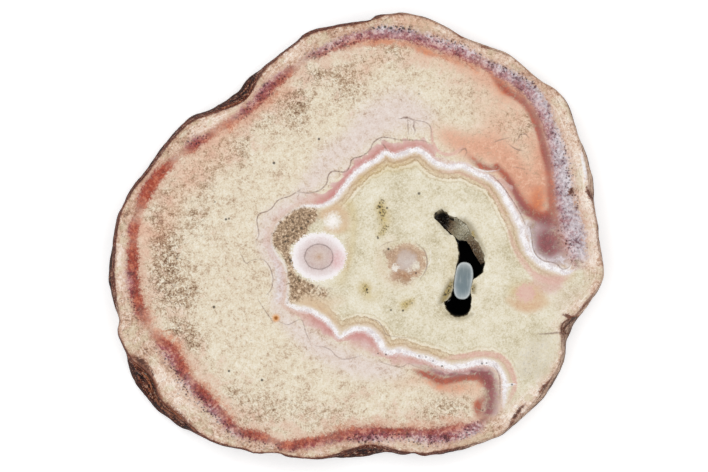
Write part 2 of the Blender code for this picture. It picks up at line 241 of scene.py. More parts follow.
def slice_rows():
    """The slice's surface as one ring of rows: out over the face along straight spokes, down the
    rind, in over the back, and up the hollow's wall. The rind's inset from its outline is the shelf
    times the share of the height above the bulge to the power RIND_BULGE, or the chamfer times the
    square of the share below it, plus lumps that die out at the face and at the back. Up the wall
    each point goes straight from the throat to the mouth and dips by a half sine."""
    mouth, throat, dip, outline, inwards, shelf = spokes()
    shelf = np.maximum(shelf, LEAST_SHELF)
    places = np.column_stack([mouth, np.zeros(SPOKES)])
    mouth = mouth + MOUTH_RAGGED * np.column_stack([lumps(places, 0.8, 31), lumps(places, 0.8, 32)])
    edge = outline + inwards * shelf[:, None]
    rows = []

    def add(flat, height):
        rows.append(np.column_stack([flat, np.broadcast_to(height, SPOKES)]))

    lip = mouth + (edge - mouth) / np.hypot(*(edge - mouth).T)[:, None] * WORN_EDGE
    add(lip, THICKNESS)
    for share in np.linspace(0, 1, FACE_ROWS)[1:-1]:
        add(lip + (edge - lip) * share, THICKNESS)
    add(edge + inwards * WORN_EDGE, THICKNESS)
    add(edge + inwards * WORN_TURN[0], THICKNESS - WORN_TURN[1])
    for height in RIND_TOP - RIND_TOP * np.linspace(0, 1, RIND_ROWS) ** 1.15:
        above = max(height - BULGE_HEIGHT, 0.0) / (THICKNESS - BULGE_HEIGHT)
        below = max(1 - height / BULGE_HEIGHT, 0.0)
        inset = shelf * above**RIND_BULGE + BACK_CHAMFER * below**2
        places = np.column_stack([outline, np.full(SPOKES, 1.5 * height)])
        rough = np.clip(0.35 + lumps(places, 3.4, 7), 0, 1.4) + 0.35 * lumps(places, 1.1, 8)
        level = np.sin(np.pi * np.clip(height / THICKNESS, 0.02, 0.98)) ** 0.6
        inset = inset + (LUMP_DEPTH + SHELF_LUMPS * shelf) * np.maximum(rough, 0) * level
        add(outline + inwards * np.maximum(inset, 0)[:, None], height)
    back = rows[-1][:, :2]
    for share in np.linspace(0, 1, BACK_ROWS)[1:]:
        add(back + (throat - back) * share, 0.0)
    add(throat, THROAT_HEIGHT / 2)
    for share in np.linspace(0, 1, WALL_ROWS)[:-1]:
        straight = THROAT_HEIGHT + (LIP_HEIGHT - THROAT_HEIGHT) * share ** (1 + 1.5 * dip)
        sunk = dip * np.sin(np.pi * np.minimum(share * 1.02, 1))
        flat = throat + (mouth - throat) * share
        places = np.column_stack([flat, straight])
        pitted = WALL_PITS * lumps(places, 0.9, 11) * np.sin(np.pi * share)
        add(flat + pitted[:, None] * inwards, straight - sunk)
    add(mouth, LIP_HEIGHT)
    add(mouth + (lip - mouth) * 0.3, THICKNESS - 0.08)
    return np.array(rows)


stone_rows = slice_rows()
agate_stone = grid_piece("agate_stone", stone_rows, wrap_rows=True)

# ---- The slice: its bands and stains, laid out ------------------------------------------------
# Silica and iron settled on the nodule's wall band by band, so the colours follow closed lines.
# Each line and stain is drawn here, and its distance or strength is stored on the mesh's points.

# The coloured ring under the skin, counter-clockwise. x, y and half its width in steps of the grid,
# then its strength, its hue (0 brick red, 0.5 plum, 1 lavender) and the strength of the orange on
# its inner side.
RING = (
    (207, 137, 5, .8, .3, .2), (192, 146, 6.5, 1, .35, .1), (180, 155, 3, .25, .2, .1),
    (169, 165, 6, .85, 0, .1), (159, 175, 6.5, 1, 0, .1), (151, 185, 7.5, 1, 0, .1),
    (145, 196, 7.5, 1, 0, .1), (141, 206, 6, .75, 0, .2), (138, 216, 5, .35, 0, .3),
    (134, 228, 6, 1, .15, .2), (133, 240, 5, .8, .1, .2), (133, 252, 7, 1, .05, .2),
    (133, 265, 7, 1, .1, .2), (133, 278, 7, 1, .4, .2), (135, 292, 7, 1, .25, .2),
    (138, 303, 7, .95, .1, .3), (142, 313, 7, .8, .1, .4), (147, 322, 6, .5, .1, .5),
    (151, 330, 4, .25, 0, .5), (158, 338, 6, .7, .1, .8), (166, 346, 8, 1, .35, .9),
    (173, 355, 8, 1, .4, .9), (179, 363, 7, 1, .3, .8), (184, 373, 7, .95, .3, .6),
    (190, 382, 6, .8, .5, .3), (198, 390, 7, 1, .35, .8), (206, 398, 7, 1, .35, .8),
    (215, 408, 7, 1, .5, .9), (222, 415, 6, .8, .4, .7), (228, 423, 7, .95, .4, .2),
    (236, 431, 6, .8, .5, .1), (248, 434, 6, .95, .25, .1), (262, 437, 6, .9, .2, .1),
    (274, 441, 4, .6, .2, 0), (285, 446, 6, .95, .2, 0), (300, 444, 6, .95, .2, .1),
    (315, 442, 6, 1, .3, .1), (330, 438, 6, .8, .3, .1), (345, 435, 7, .95, .25, .6),
    (360, 434, 8, 1, .4, .5), (380, 433, 8, 1, .45, .4), (397, 434, 7, 1, .35, .2),
    (412, 433, 7, .9, .5, .5), (425, 436, 8, 1, .5, .2), (440, 435, 9, 1, .5, .5),
    (452, 433, 9, 1, .45, .6), (463, 431, 8, 1, .5, .4), (473, 428, 7, .95, .65, .2),
    (482, 424, 6, .75, .65, .1), (496, 417, 3, 0, .4, 0), (520, 407, 3, 0, .4, 0),
    (548, 383, 3, 0, .4, 0), (562, 352, 3, 0, .4, 0), (570, 325, 3, 0, .4, 0), (585, 300, 3, 0, .6, 0),
    (587, 284, 4, 0, .9, 0), (582, 271, 7, .4, 1, 0), (580, 260, 9, .8, 1, 0), (577, 248, 10, 1, .95, 0),
    (574, 234, 12, 1, .95, 0), (570, 220, 12, 1, .95, 0), (566, 206, 10, 1, .95, 0),
    (564, 192, 10, 1, 1, 0), (562, 178, 9, 1, 1, 0), (560, 165, 9, 1, 1, 0), (557, 150, 8, 1, 1, 0),
    (553, 137, 8, 1, .85, .1), (549, 125, 7, .95, .8, .1), (544, 112, 8, 1, .8, .2),
    (539, 102, 8, 1, .9, .3), (531, 92, 8, 1, .85, .5), (521, 84, 8, 1, .8, .6), (510, 77, 7, 1, .8, .5),
    (499, 71, 6.5, .95, .8, .4), (489, 66, 6, .85, .7, .5), (480, 61.5, 6, .75, .6, .7),
    (471, 57, 7, .95, .65, .8), (460, 52, 7, 1, .6, .5), (448, 48, 7, 1, .65, .8),
    (436, 44, 7, 1, .62, .5), (423, 40, 7, 1, .65, .9), (410, 36, 7, 1, .65, .6),
    (398, 34, 7, 1, .75, .7), (385, 33, 7, 1, .75, .9), (372, 35, 6.5, .95, .6, .85),
    (360, 37, 6, .95, .5, .5), (350, 40, 6, .95, .45, .4), (340, 44, 6, .85, .5, .1),
    (330, 48, 5, .8, .5, .1), (320, 53, 5, .85, .5, .05), (310, 56, 4, .6, .55, .05),
    (300, 64, 4, .25, .4, .1), (290, 71, 5, .75, .3, .35), (280, 79, 6, .9, .4, .5),
    (270, 87, 7, 1, .42, .75), (262, 96, 7, 1, .42, .5), (254, 104, 6, .9, .42, .3),
    (245, 112, 6, .9, .4, .2), (236, 119, 5, .6, .35, .3), (226, 124, 5, .6, 0, .9),
    (217, 130, 4, .4, 0, .5),
)

# The white lace round the inner quartz, counter-clockwise, closed outside the slice at the right.
# x, y, half its width and how far the rose band reaches outside it in steps of the grid, then the
# strength of the white, of the rose and of the tan band inside.
LACE = (
    (571, 271, 1.4, 3, .9, .1, .1), (565, 272, 3, 3, 1, .1, .3), (558, 270, 3.2, 3, 1, .1, .5),
    (549, 266.5, 3.2, 4, 1, .1, .6), (541, 262.5, 3.2, 4, 1, .1, .6), (534, 257, 3, 4, 1, .1, .6),
    (528, 250, 3.2, 5, 1, .1, .6), (524, 240, 3.6, 5, 1, .1, .6), (522, 231, 3.6, 5, 1, .1, .6),
    (519, 222, 3.6, 6, 1, .15, .7), (513, 211, 3.6, 8, 1, .5, .8), (507, 200, 3.2, 8, 1, .6, .8),
    (500, 189, 2.9, 8, 1, .6, .8), (492, 180, 2.5, 6, 1, .6, .8), (481, 175, 2.5, 5, 1, .5, .8),
    (470, 169.5, 2.5, 5, 1, .5, .8), (460, 165.5, 2.9, 5, 1, .6, .8), (450, 167, 2.9, 5, 1, .5, .8),
    (440, 165, 2.9, 5, 1, .5, .8), (432, 160, 2.9, 7, 1, .7, .8), (425, 153, 2.9, 12, 1, .8, .8),
    (417, 150, 2.9, 12, 1, .85, .9), (409, 151, 2.5, 12, 1, .85, .9), (401, 154.5, 2.5, 13, 1, .85, .9),
    (393, 156, 2.2, 14, 1, .9, .9), (386, 152.5, 2.2, 12, 1, .9, .9), (380, 157, 2.2, 13, 1, .9, .9),
    (371, 163, 2.5, 11, 1, .9, .9), (361, 168.5, 2.9, 10, 1, 1, .9), (351, 178, 2.5, 9, 1, 1, .9),
    (343, 188, 2.4, 10, .95, 1, .8), (336, 197, 2.2, 12, .9, 1, .7), (328, 203.5, 2.1, 12, .85, .9, .5),
    (318, 206.5, 2.1, 13, .8, .75, .3), (308, 206, 2.1, 11, .75, .45, .1),
    (299, 207.5, 1.6, 9, .5, .25, 0), (290, 213, 1.4, 9, .42, .25, 0), (282, 220, 1.2, 9, .38, .25, 0),
    (276, 228, 1.2, 9, .38, .25, 0), (272, 239, 1.2, 9, .38, .25, 0), (274, 250, 1.2, 9, .38, .25, 0),
    (281, 260, 1.4, 9, .4, .25, 0), (286, 270, 1.4, 9, .42, .25, 0), (288, 282, 1.4, 9, .42, .25, 0),
    (288, 294, 1.4, 9, .5, .25, .1), (287, 303, 2, 9, .7, .3, .2), (293, 307, 2.2, 9, .8, .4, .3),
    (303, 308.5, 2.4, 12, .85, .6, .4), (315, 312.5, 2.4, 14, .9, .7, .5),
    (326, 320, 2.5, 13, .95, .75, .5), (334, 329, 2.4, 11, .95, .75, .5), (340, 336.5, 2.2, 7, 1, .6, .6),
    (347, 332, 2.5, 12, 1, .8, .7), (356, 329, 2.9, 14, 1, .85, .7), (365, 329.5, 2.9, 14, 1, .9, .8),
    (373, 333.5, 3.2, 13, 1, .9, .8), (379, 341, 3.2, 11, 1, .85, .8), (383, 349, 2.9, 9, 1, .7, .8),
    (391, 352, 2.9, 9, 1, .7, .8), (400, 350.5, 3.2, 9, 1, .7, .8), (409, 353.5, 2.9, 10, 1, .7, .8),
    (420, 356.5, 2.9, 10, 1, .7, .8), (430, 359.5, 3.2, 9, 1, .7, .8), (440, 364, 3.2, 8, 1, .6, .8),
    (450, 366.5, 2.9, 8, 1, .6, .7), (460, 366, 2.9, 8, 1, .6, .6), (470, 364.5, 2.9, 8, 1, .6, .6),
    (480, 362.5, 2.9, 8, 1, .6, .6), (490, 363, 2.9, 8, 1, .5, .6), (497.5, 367, 2.9, 7, 1, .4, .6),
    (502.5, 375, 2.5, 6, 1, .3, .6), (505, 384, 2.9, 6, 1, .3, .5), (505, 393, 2.2, 6, .9, .3, .3),
    (504, 402, 1.8, 5, .6, .2, .2), (503.5, 410, 1.1, 4, .15, .1, 0), (505, 425, .7, 2, 0, 0, 0),
    (520, 450, .7, 2, 0, 0, 0), (600, 420, .7, 2, 0, 0, 0), (640, 330, .7, 2, 0, 0, 0),
    (625, 272, .7, 2, 0, 0, 0), (596, 266, .7, 2, 0, 0, 0), (580, 268, .7, 2, 0, 0, 0),
)

# Hairlines, grey from iron, pink and white: each stroke is a run of points, with x, y and half width
# in steps of the grid, and strength.
GREY_HAIRLINES = (
    ((300, 190, .5, .5), (290, 196, .5, .8), (283, 198, .5, .8), (277, 201, .5, .8), (272, 208, .5, .8),
     (266, 212, .5, .8), (260, 213, .5, .8), (257, 219, .5, .8), (258, 228, .5, .7), (259, 235, .5, .6),
     (256, 241, .5, .3)),
    ((240, 252, .5, .2), (243, 258, .5, .6), (246, 264, .5, .7), (252, 260, .5, .5), (262, 259, .5, .4),
     (267, 263, .5, .6), (271, 270, .5, .7), (273, 280, .5, .6), (271, 290, .5, .7),
     (266, 295, .5, .3)),
    ((259, 301, .5, .3), (264, 309, .5, .7), (269, 316, .5, .7), (273, 322, .5, .3)),
    ((280, 322, .5, .2), (288, 325, .5, .6), (294, 322, .5, .5), (301, 319, .5, .3), (304, 325, .5, .5),
     (306, 333, .5, .6), (310, 341, .5, .3)),
    ((316, 346, .5, .2), (324, 347, .5, .5), (331, 350, .5, .5), (335, 355, .5, .5), (342, 359, .5, .5),
     (350, 358.5, .5, .5), (360, 356, .5, .3)),
    ((298, 192, .6, .3), (310, 193, .6, .6), (320, 190, .6, .7), (327, 183, .6, .8), (328, 176, .6, .8),
     (333, 171, .6, .8), (345, 172, .6, .8), (350, 166, .6, .8), (352, 159, .6, .9), (362, 156, .6, .8),
     (370, 150, .6, .7), (373, 143, .6, .7), (380, 138, .6, .8), (388, 137.5, .6, .8),
     (400, 140, .5, .5), (412, 140, .5, .5), (425, 141, .5, .4), (430, 144, .5, .2)),
    ((403, 118, .9, .8), (408, 117.5, .9, .9), (413, 120, .7, .7), (420, 121, .5, .5),
     (427, 123, .5, .6), (431, 128, .5, .6), (431, 138, .5, .25)),
    ((459, 153, .6, .3), (464, 148, .7, .8), (467, 151, .6, .6), (465, 156, .5, .3)),
    ((408, 122, .6, .3), (408, 127, .6, .6), (408.5, 133, .5, .3)),
    ((414, 123, .7, .5), (413.5, 127, .7, .8), (415.5, 130, .7, .6), (414, 134, .5, .3)),
    ((382, 143, .7, .3), (385, 147, .7, .8), (387, 150, .6, .5)),
    ((518, 139, .6, .5), (521, 134, .6, .8), (526, 134, .6, .7), (529, 138, .5, .4)),
    ((495, 142, .6, .4), (500, 140, .6, .8), (507, 138, .5, .4)),
    ((510, 145, .6, .4), (514, 148, .6, .8), (518, 150, .6, .7), (523, 151, .5, .3)),
    ((514, 167, .6, .3), (519, 168, .6, .6), (524, 169, .5, .3)),
    ((488, 173, .5, .3), (497, 180, .5, .6), (504, 188, .5, .7), (510, 197, .5, .7), (516, 206, .5, .7),
     (521, 215, .5, .6), (525, 224, .5, .5)),
    ((530, 227, .5, .3), (532, 238, .5, .6), (533, 248, .5, .7), (537, 256, .6, .7), (544, 261, .6, .8),
     (551, 262, .6, .8), (557, 264, .6, .7), (562, 269, .6, .7), (568, 268, .5, .5),
     (571, 264, .5, .2)),
    ((378, 361, .5, .2), (390, 365, .5, .5), (402, 367, .5, .5), (408, 363, .5, .4), (414, 366, .5, .4),
     (424, 369, .5, .3)),
    ((494, 366, .6, .3), (498, 372, .6, .7), (500, 380, .6, .8), (500, 390, .6, .7),
     (500, 402, .5, .3)),
    ((368, 318, .5, .2), (378, 321, .5, .5), (383, 328, .5, .6), (387, 335, .5, .6), (398, 337, .5, .4),
     (410, 338, .5, .3)),
    ((380, 247, .5, .2), (386, 243, .5, .4), (394, 241, .5, .3)),
    ((540, 334, .6, .6), (550, 333.5, .7, .8), (558, 332.5, .8, .9), (564, 333, .8, .9),
     (572, 334, .6, .8)),
    ((381, 25, .5, .3), (385, 20, .5, .6), (391, 16, .5, .7), (399, 13.5, .5, .6)),
    ((417, 244, .5, .3), (424, 250, .6, .6), (427, 259, .6, .7), (426, 270, .6, .6),
     (420, 279, .5, .3)),
)

PINK_HAIRLINES = (
    ((446, 358.5, 2, .3), (456, 357, 2.6, .7), (468, 355.5, 3, .85), (480, 354, 3, .85),
     (492, 354.5, 3, .85), (502, 358, 3, .85), (509, 366, 3, .85), (513.5, 376, 2.8, .85),
     (515, 386, 2.4, .8), (511, 396, 2.2, .6), (508, 404, 1.5, .2)),
    ((508, 225, 2, .2), (511, 238, 2.6, .5), (517, 252, 2.8, .6), (526, 266, 3, .7),
     (536, 276, 3.4, .75), (548, 281, 3.6, .7), (560, 280, 3.4, .6), (568, 276, 2.5, .2)),
    ((440, 172, 1.4, .2), (455, 172, 1.6, .4), (468, 176, 1.6, .45), (480, 182, 1.6, .45),
     (491, 192, 1.6, .45), (499, 205, 1.6, .4), (506, 220, 1.4, .3)),
    ((432, 128, 1.2, .4), (432, 139, 1.7, .8), (436, 149, 1.7, .9), (444, 154, 1.7, .9),
     (453, 154, 1.7, .9), (461, 148, 1.4, .6)),
)

WHITE_HAIRLINES = (
    ((503, 385, 1.2, .9), (509, 384.5, 1.6, 1), (515, 384, .8, .8)),
    ((504, 391, 1, .8), (508, 389.5, 1, .7), (511, 388, .6, .3)),
    ((468, 164, .7, .3), (476, 168.5, 1, .7), (486, 171.5, 1, .7), (495, 170.5, .8, .4)),
    ((581.5, 152, 1.2, .5), (583, 162, 1.8, 1), (585, 171, 1.9, 1), (585.5, 178, 1.5, .9),
     (584, 183, 1, .4)),
    ((562, 268, 1, .6), (566, 270.5, 1, .7), (570, 267.5, 1, .6), (572, 263, .6, .3)),
    ((530, 236, 1, .4), (531, 246, 1.2, .8), (535, 255, 1.2, .8), (542, 261, 1.2, .5)),
    ((429, 246, .5, .3), (431, 254, .6, .5), (430, 262, .6, .5), (425, 270, .5, .3)),
)

# Soft stains and tints: each stroke is a run of points, with x, y and radius in steps of the grid,
# and strength. In MOTTLING the brown patches of the quartz crowd.
MOTTLING = (
    ((158, 222, 14, .8), (162, 240, 16, 1), (168, 262, 18, .9), (165, 285, 18, 1), (176, 300, 16, .8)),
    ((165, 200, 12, .5), (185, 180, 18, .5), (200, 165, 16, .5), (205, 185, 12, .5)),
    ((190, 290, 10, .6),),
    ((178, 328, 12, .8), (190, 340, 12, .8), (198, 345, 8, .6)),
    ((222, 145, 18, .4), (238, 150, 14, .5), (245, 130, 10, .4), (262, 118, 14, .4),
     (285, 100, 14, .75), (298, 100, 12, .85), (297, 118, 12, .6)),
    ((312, 76, 13, .65), (322, 74, 10, .55), (340, 74, 12, .35), (370, 58, 12, .35), (402, 54, 9, .5)),
    ((235, 395, 14, .35), (250, 408, 16, .4), (285, 408, 18, .3), (315, 415, 16, .3),
     (345, 420, 12, .3)),
    ((240, 425, 12, .4), (290, 430, 12, .3)),
    ((445, 408, 16, .4), (458, 412, 12, .5), (420, 415, 16, .25)),
    ((470, 95, 14, .15),),
    ((520, 130, 12, .5), (530, 120, 8, .5), (495, 128, 10, .35)),
    ((123, 300, 8, .9), (128, 312, 8, .9), (125, 330, 9, .9), (135, 340, 8, .7)),
    ((112, 218, 5, .8), (122, 222, 6, .8)),
    ((195, 215, 15, .45), (200, 235, 12, .4)),
    ((350, 88, 17, .45), (338, 96, 12, .4)),
)

PALE_ZONE = (
    ((300, 197, 10, .7), (330, 160, 18, .8), (350, 145, 16, .9), (375, 122, 22, .95),
     (400, 112, 24, .95), (420, 118, 18, .8)),
    ((285, 206, 10, .8), (266, 222, 10, .75), (264, 240, 10, .75), (268, 256, 9, .7), (277, 270, 8, .7),
     (279, 290, 8, .75), (276, 305, 9, .7), (284, 318, 10, .75), (300, 332, 13, .8),
     (320, 348, 14, .85), (345, 360, 15, .85), (370, 368, 14, .85), (398, 372, 10, .6)),
)

PEACH_FLUSH = (
    ((438, 130, 12, .4), (448, 136, 13, .7), (468, 146, 16, .85), (495, 150, 20, .9), (515, 172, 18, 1),
     (530, 192, 16, 1), (537, 206, 12, 1)),
    ((540, 150, 12, .85), (544, 172, 12, 1), (547, 192, 10, 1)),
    ((500, 122, 20, .4), (526, 112, 11, .5), (517, 103, 10, .45)),
    ((440, 384, 9, .75), (460, 388, 9, .55), (478, 392, 8, .45)),
    ((415, 380, 10, .4), (395, 386, 8, .25)),
    ((404, 51, 8, .3), (430, 60, 9, .35), (460, 66, 9, .45), (487, 80, 10, .55), (506, 98, 10, .6)),
    ((168, 348, 8, .3), (190, 372, 8, .3)),
    ((285, 92, 12, .45), (250, 112, 12, .45), (215, 140, 14, .35), (190, 168, 16, .35),
     (175, 200, 16, .35), (158, 236, 13, .4), (143, 226, 9, .45), (150, 262, 10, .3)),
    ((350, 75, 14, .25), (380, 60, 12, .35)),
    ((530, 138, 9, .5),),
    ((452, 84, 20, .2), (482, 104, 20, .3)),
    ((228, 150, 18, .25), (200, 186, 16, .2)),
    ((395, 17, 6, .3), (412, 22, 6, .4), (432, 25, 6, .4)),
)

BRICK_STAINS = (
    ((482, 66, 3, .4), (490, 71, 3.5, .7), (497, 79, 4.5, .9), (505, 88, 5, 1), (514, 95, 4.5, 1),
     (523, 101, 3.5, .8)),
    ((519, 97, 4, .5), (526, 106, 4, .75), (533, 116, 4.5, .95), (538, 128, 4.5, .95),
     (541, 138, 4, .8), (544, 150, 4.5, 1), (547, 161, 4.5, 1), (549, 172, 4, .75), (551, 184, 5, .85),
     (552, 196, 6, .9), (553, 207, 6, .95), (549, 216, 6, .8)),
    ((467, 154, 4, .25), (473, 160, 4.5, .55), (481, 166, 4.5, .8), (490, 169, 4, .85),
     (497, 167, 3.5, .75)),
    ((497, 167, 3.5, .7), (504, 174, 4.5, .8), (511, 184, 5.5, .8), (518, 196, 6, .65),
     (525, 206, 6.5, .8), (533, 213, 6, .95), (543, 217, 5, 1), (552, 216, 5, .7)),
    ((413, 370, 3, .4), (421, 373, 4, .85), (431, 376, 4.5, 1), (441, 381, 4.5, 1), (452, 380, 4, 1),
     (463, 378, 4, 1), (474, 377, 4.5, 1), (483, 378, 6, 1), (489, 384, 5.5, 1)),
    ((484, 398, 5, .5), (478, 405, 5.5, .85), (479, 414, 5, .7)),
)

EMBER_GLOW = (
    ((537, 205, 8, .85), (539, 190, 9, .5)),
    ((505, 92, 5, .6), (497, 84, 5, .5)),
    ((424, 380, 5, .4), (433, 383, 5, .6), (446, 389, 7, .35), (460, 387, 6, .4), (472, 384, 5, .3),
     (480, 384, 5, .6)),
    ((476, 404, 4, .8),),
    ((546, 173, 4, .5),),
    ((352, 46, 4, .35), (366, 43, 4, .45), (378, 41, 4.5, .7), (390, 42, 4, .6), (398, 43, 3, .3),
     (406, 44, 3.5, .5), (416, 47, 4, .7), (425, 51, 5, .9), (434, 54, 4, .6), (442, 57, 3, .3),
     (452, 60, 4, .4), (462, 64, 4, .5), (470, 67, 3, .25), (477, 71, 4, .5)),
    ((530, 196, 10, .2),),
)

PLUM_STAINS = (
    ((547, 240, 11, 1), (548, 249, 10, 1), (557, 249, 7, .5)),
    ((557, 240, 9, .6),),
    ((487, 376, 7, .75), (490, 386, 7, .8), (490, 398, 7, .75), (489, 409, 7, .75), (485, 418, 6, .6)),
    ((518, 94, 4, .6), (525, 101, 4, .6), (533, 111, 4, .65), (539, 124, 4, .6), (543, 140, 4, .65),
     (547, 155, 4, .7), (550, 168, 4.5, .7)),
    ((510, 183, 3.5, .4), (518, 197, 4, .5), (525, 210, 5, .6), (536, 219, 5, .5), (548, 221, 7, .8),
     (555, 222, 6, .7)),
    ((560, 212, 9, .4),),
    ((552, 150, 4, .5), (556, 170, 4, .7), (559, 190, 4, .75), (559, 207, 5, .7)),
    ((572, 241, 9, .45),),
    ((430, 369, 3.5, .4), (444, 375, 4, .6), (459, 374, 4, .6), (474, 371, 5, .7), (485, 374, 5, .7)),
)

MAUVE_BLOOM = (
    ((531, 226, 7, .6), (545, 226, 10, .8), (560, 224, 12, .8), (570, 234, 11, .7), (570, 250, 10, .75),
     (560, 260, 7, .7), (548, 260, 7, .6), (538, 250, 5, .6)),
    ((414, 363, 4, .4), (428, 367, 4, .5), (440, 372, 4, .7), (455, 373, 4, .7), (470, 372, 4, .8),
     (481, 369, 5, .8), (491, 373, 5, .6), (496, 385, 5, .6), (496, 398, 6, .6), (494, 411, 7, .6)),
    ((546, 291, 7, .6), (556, 286, 5, .4)),
    ((508, 180, 4, .5), (516, 196, 4, .5), (522, 212, 4, .6)),
    ((536, 92, 6, .3), (552, 190, 6, .4), (558, 175, 5, .3)),
    ((548, 238, 16, .9), (562, 246, 13, .9)),
    ((536, 233, 7, .8), (539, 247, 6, .8), (552, 258, 7, .7)),
)

LILAC_WHITE = (
    ((526, 222, 5, .6), (528, 234, 6, .8), (531, 246, 5, .8), (539, 257, 5, .7), (552, 260, 5, .6),
     (563, 259, 6, .7), (568, 265, 5, .6)),
    ((560, 160, 7, .35), (562, 180, 7, .4), (566, 200, 7, .35), (575, 225, 7, .45), (578, 245, 6, .45)),
    ((551, 120, 5, .4), (556, 140, 5, .5)),
    ((270, 246, 6, .4), (277, 262, 6, .6), (280, 280, 6, .65), (279, 298, 6, .6)),
)

ROSY_LOBES = (
    ((316, 322, 8, .7), (328, 331, 7, .8)),
    ((355, 340, 9, .8), (366, 343, 8, .95), (372, 350, 5, .8)),
    ((395, 360, 6, .9), (407, 363, 5, .5), (420, 366, 5, .4)),
    ((540, 277, 6, .6), (552, 279, 6, .7), (562, 277, 5, .6)),
    ((562, 304, 14, .3), (576, 292, 12, .3)),
    ((526, 294, 8, .5),),
    ((268, 262, 6, .15),),
    ((360, 155, 6, .3), (330, 186, 6, .35)),
    ((595, 268, 5, .4), (590, 286, 8, .4)),
    ((535, 283, 5, .6), (545, 289, 7, .8), (557, 286, 6, .8)),
)

BROWN_GRIT = (
    ((277, 240, 6, .95), (281, 232, 7, 1), (287, 224, 7, 1), (295, 217, 7, 1), (304, 214, 7, 1),
     (313, 213, 6, .8)),
    ((283, 244, 7, 1), (288, 236, 8, 1), (295, 228, 8, 1), (303, 222, 8, 1), (311, 219, 6, .8)),
    ((284, 250, 5, 1), (287, 256, 4.5, .9), (290, 263, 4, .85), (292, 270, 4, .9)),
    ((296, 238, 5, .9), (303, 231, 5, .9)),
    ((292, 276, 5, 1), (294, 284, 6, .9), (295, 293, 7, .8), (293, 300, 5, .8)),
    ((301, 283, 6, .75), (310, 286, 6, .55), (320, 289, 6, .45), (330, 291, 6, .3)),
    ((304, 293, 8, .5), (315, 296, 8, .35), (327, 298, 7, .25)),
    ((324, 295, 2.6, 1),),
    ((396, 274, 6, .25), (406, 278, 6, .3)),
)

GOLDEN_STAINS = (
    ((381, 207, 8, .7), (385, 222, 7, .65), (380, 234, 6, .45)),
    ((365, 288, 8, .8), (371, 299, 7, .45), (380, 292, 6, .3)),
    ((405, 305, 7, .75), (412, 301, 5, .6)),
    ((350, 205, 8, .55), (354, 222, 6, .5), (352, 248, 5, .45), (347, 266, 6, .45), (341, 281, 7, .4)),
    ((345, 230, 5, .45),),
    ((450, 287, 6, .3), (455, 238, 6, .25), (475, 262, 5, .3), (462, 317, 6, .35)),
    ((360, 180, 10, .35), (385, 170, 8, .4), (420, 166, 6, .3)),
    ((512, 292, 6, .5), (516, 282, 6, .3), (546, 303, 6, .3)),
)

SOOT = (
    ((382, 201, 4.5, .5), (379, 208, 4.5, .65), (384, 214, 4, .6), (380, 222, 3, .4),
     (386, 228, 4.5, .55), (378, 236, 3, .5)),
    ((366, 287, 5, .5), (364, 294, 4, .4)),
    ((404, 305, 4, .5), (412, 301, 3, .45)),
    ((455, 218.5, 1.6, .5), (462, 222.5, 1.6, .5), (467, 228, 1.6, .45)),
    ((473, 233, 2, .8), (474, 237.5, 1.8, .7)),
    ((452, 281, 2, .6), (448.5, 290, 3, .8), (445, 297, 2.8, .8), (442, 302, 2.2, .6)),
    ((473, 287, 1.8, .7), (473, 296, 1.6, .6)),
    ((434, 215, 1.3, .5),),
)

RUST = (
    ((510, 426, 2.4, .7), (513, 420, 3, .9), (518, 412, 3, .9), (522, 406, 2.4, .8),
     (526, 404, 1.6, .6)),
    ((520, 416, 1.6, .5), (527, 410, 1.6, .5)),
    ((540, 392, 2.4, .8), (544, 387, 3, .9), (549, 382, 2.4, .7), (554, 378, 1.8, .5)),
    ((546, 391, 1.4, .5), (552, 385, 1.4, .5)),
    ((563, 314, 2, .6), (568, 316, 3, 1), (573, 318.5, 3, 1), (578, 316, 2, .8)),
    ((578, 313, 2, .5), (583, 307, 2.4, .75), (588, 301, 2.4, .7), (593, 296, 1.6, .4)),
    ((577, 317, 1.4, 1), (571, 321, 1.8, 1), (566, 326, 1.8, 1), (562, 331, 1.6, 1),
     (567, 334, 1.3, .9), (573, 333, 1.3, .8)),
    ((565, 335, 1.4, .7), (564, 345, 1.4, .6)),
    ((462, 42, 2.5, .7),),
    ((572, 189, 2.2, 1), (570, 193, 2.4, 1), (577, 191, 1.6, .6)),
    ((587, 188, 2.6, .8), (589, 194, 3.4, 1), (593, 199, 2.4, .9)),
    ((588, 178, 1.5, .4),),
    ((478, 47, 2, .5), (486, 47, 3, .8), (492, 48, 2, .5)),
    ((591, 168, 1.6, .4), (592.5, 180, 1.8, .7)),
    ((128, 354, 3, .7), (136, 359, 4, .9), (145, 363, 4, .8), (152, 372, 3, .5)),
    ((190, 121, 2, .4), (210, 113, 2, .4), (232, 105, 3, .5), (243, 96, 2.5, .5), (254, 84, 2.5, .4)),
    ((113, 245, 1.6, .4), (112, 262, 2, .5), (111, 285, 2, .5), (114, 300, 1.6, .4)),
    ((150, 392, 5, .5), (161, 402, 6, .75), (172, 411, 6, .85), (184, 420, 5, .7), (196, 427, 4, .4)),
    ((452, 31, 1.6, .5), (459, 35, 2, .8), (463, 38, 2, .7)),
    ((250, 447, 2.4, .4), (267, 449, 2.6, .5), (285, 451, 2.6, .5), (296, 452, 2.2, .4)),
    ((139, 364, 3.5, .9), (146, 371, 4.5, 1), (152, 381, 4.5, 1), (156, 391, 4, 1), (159, 399, 3, .7)),
)

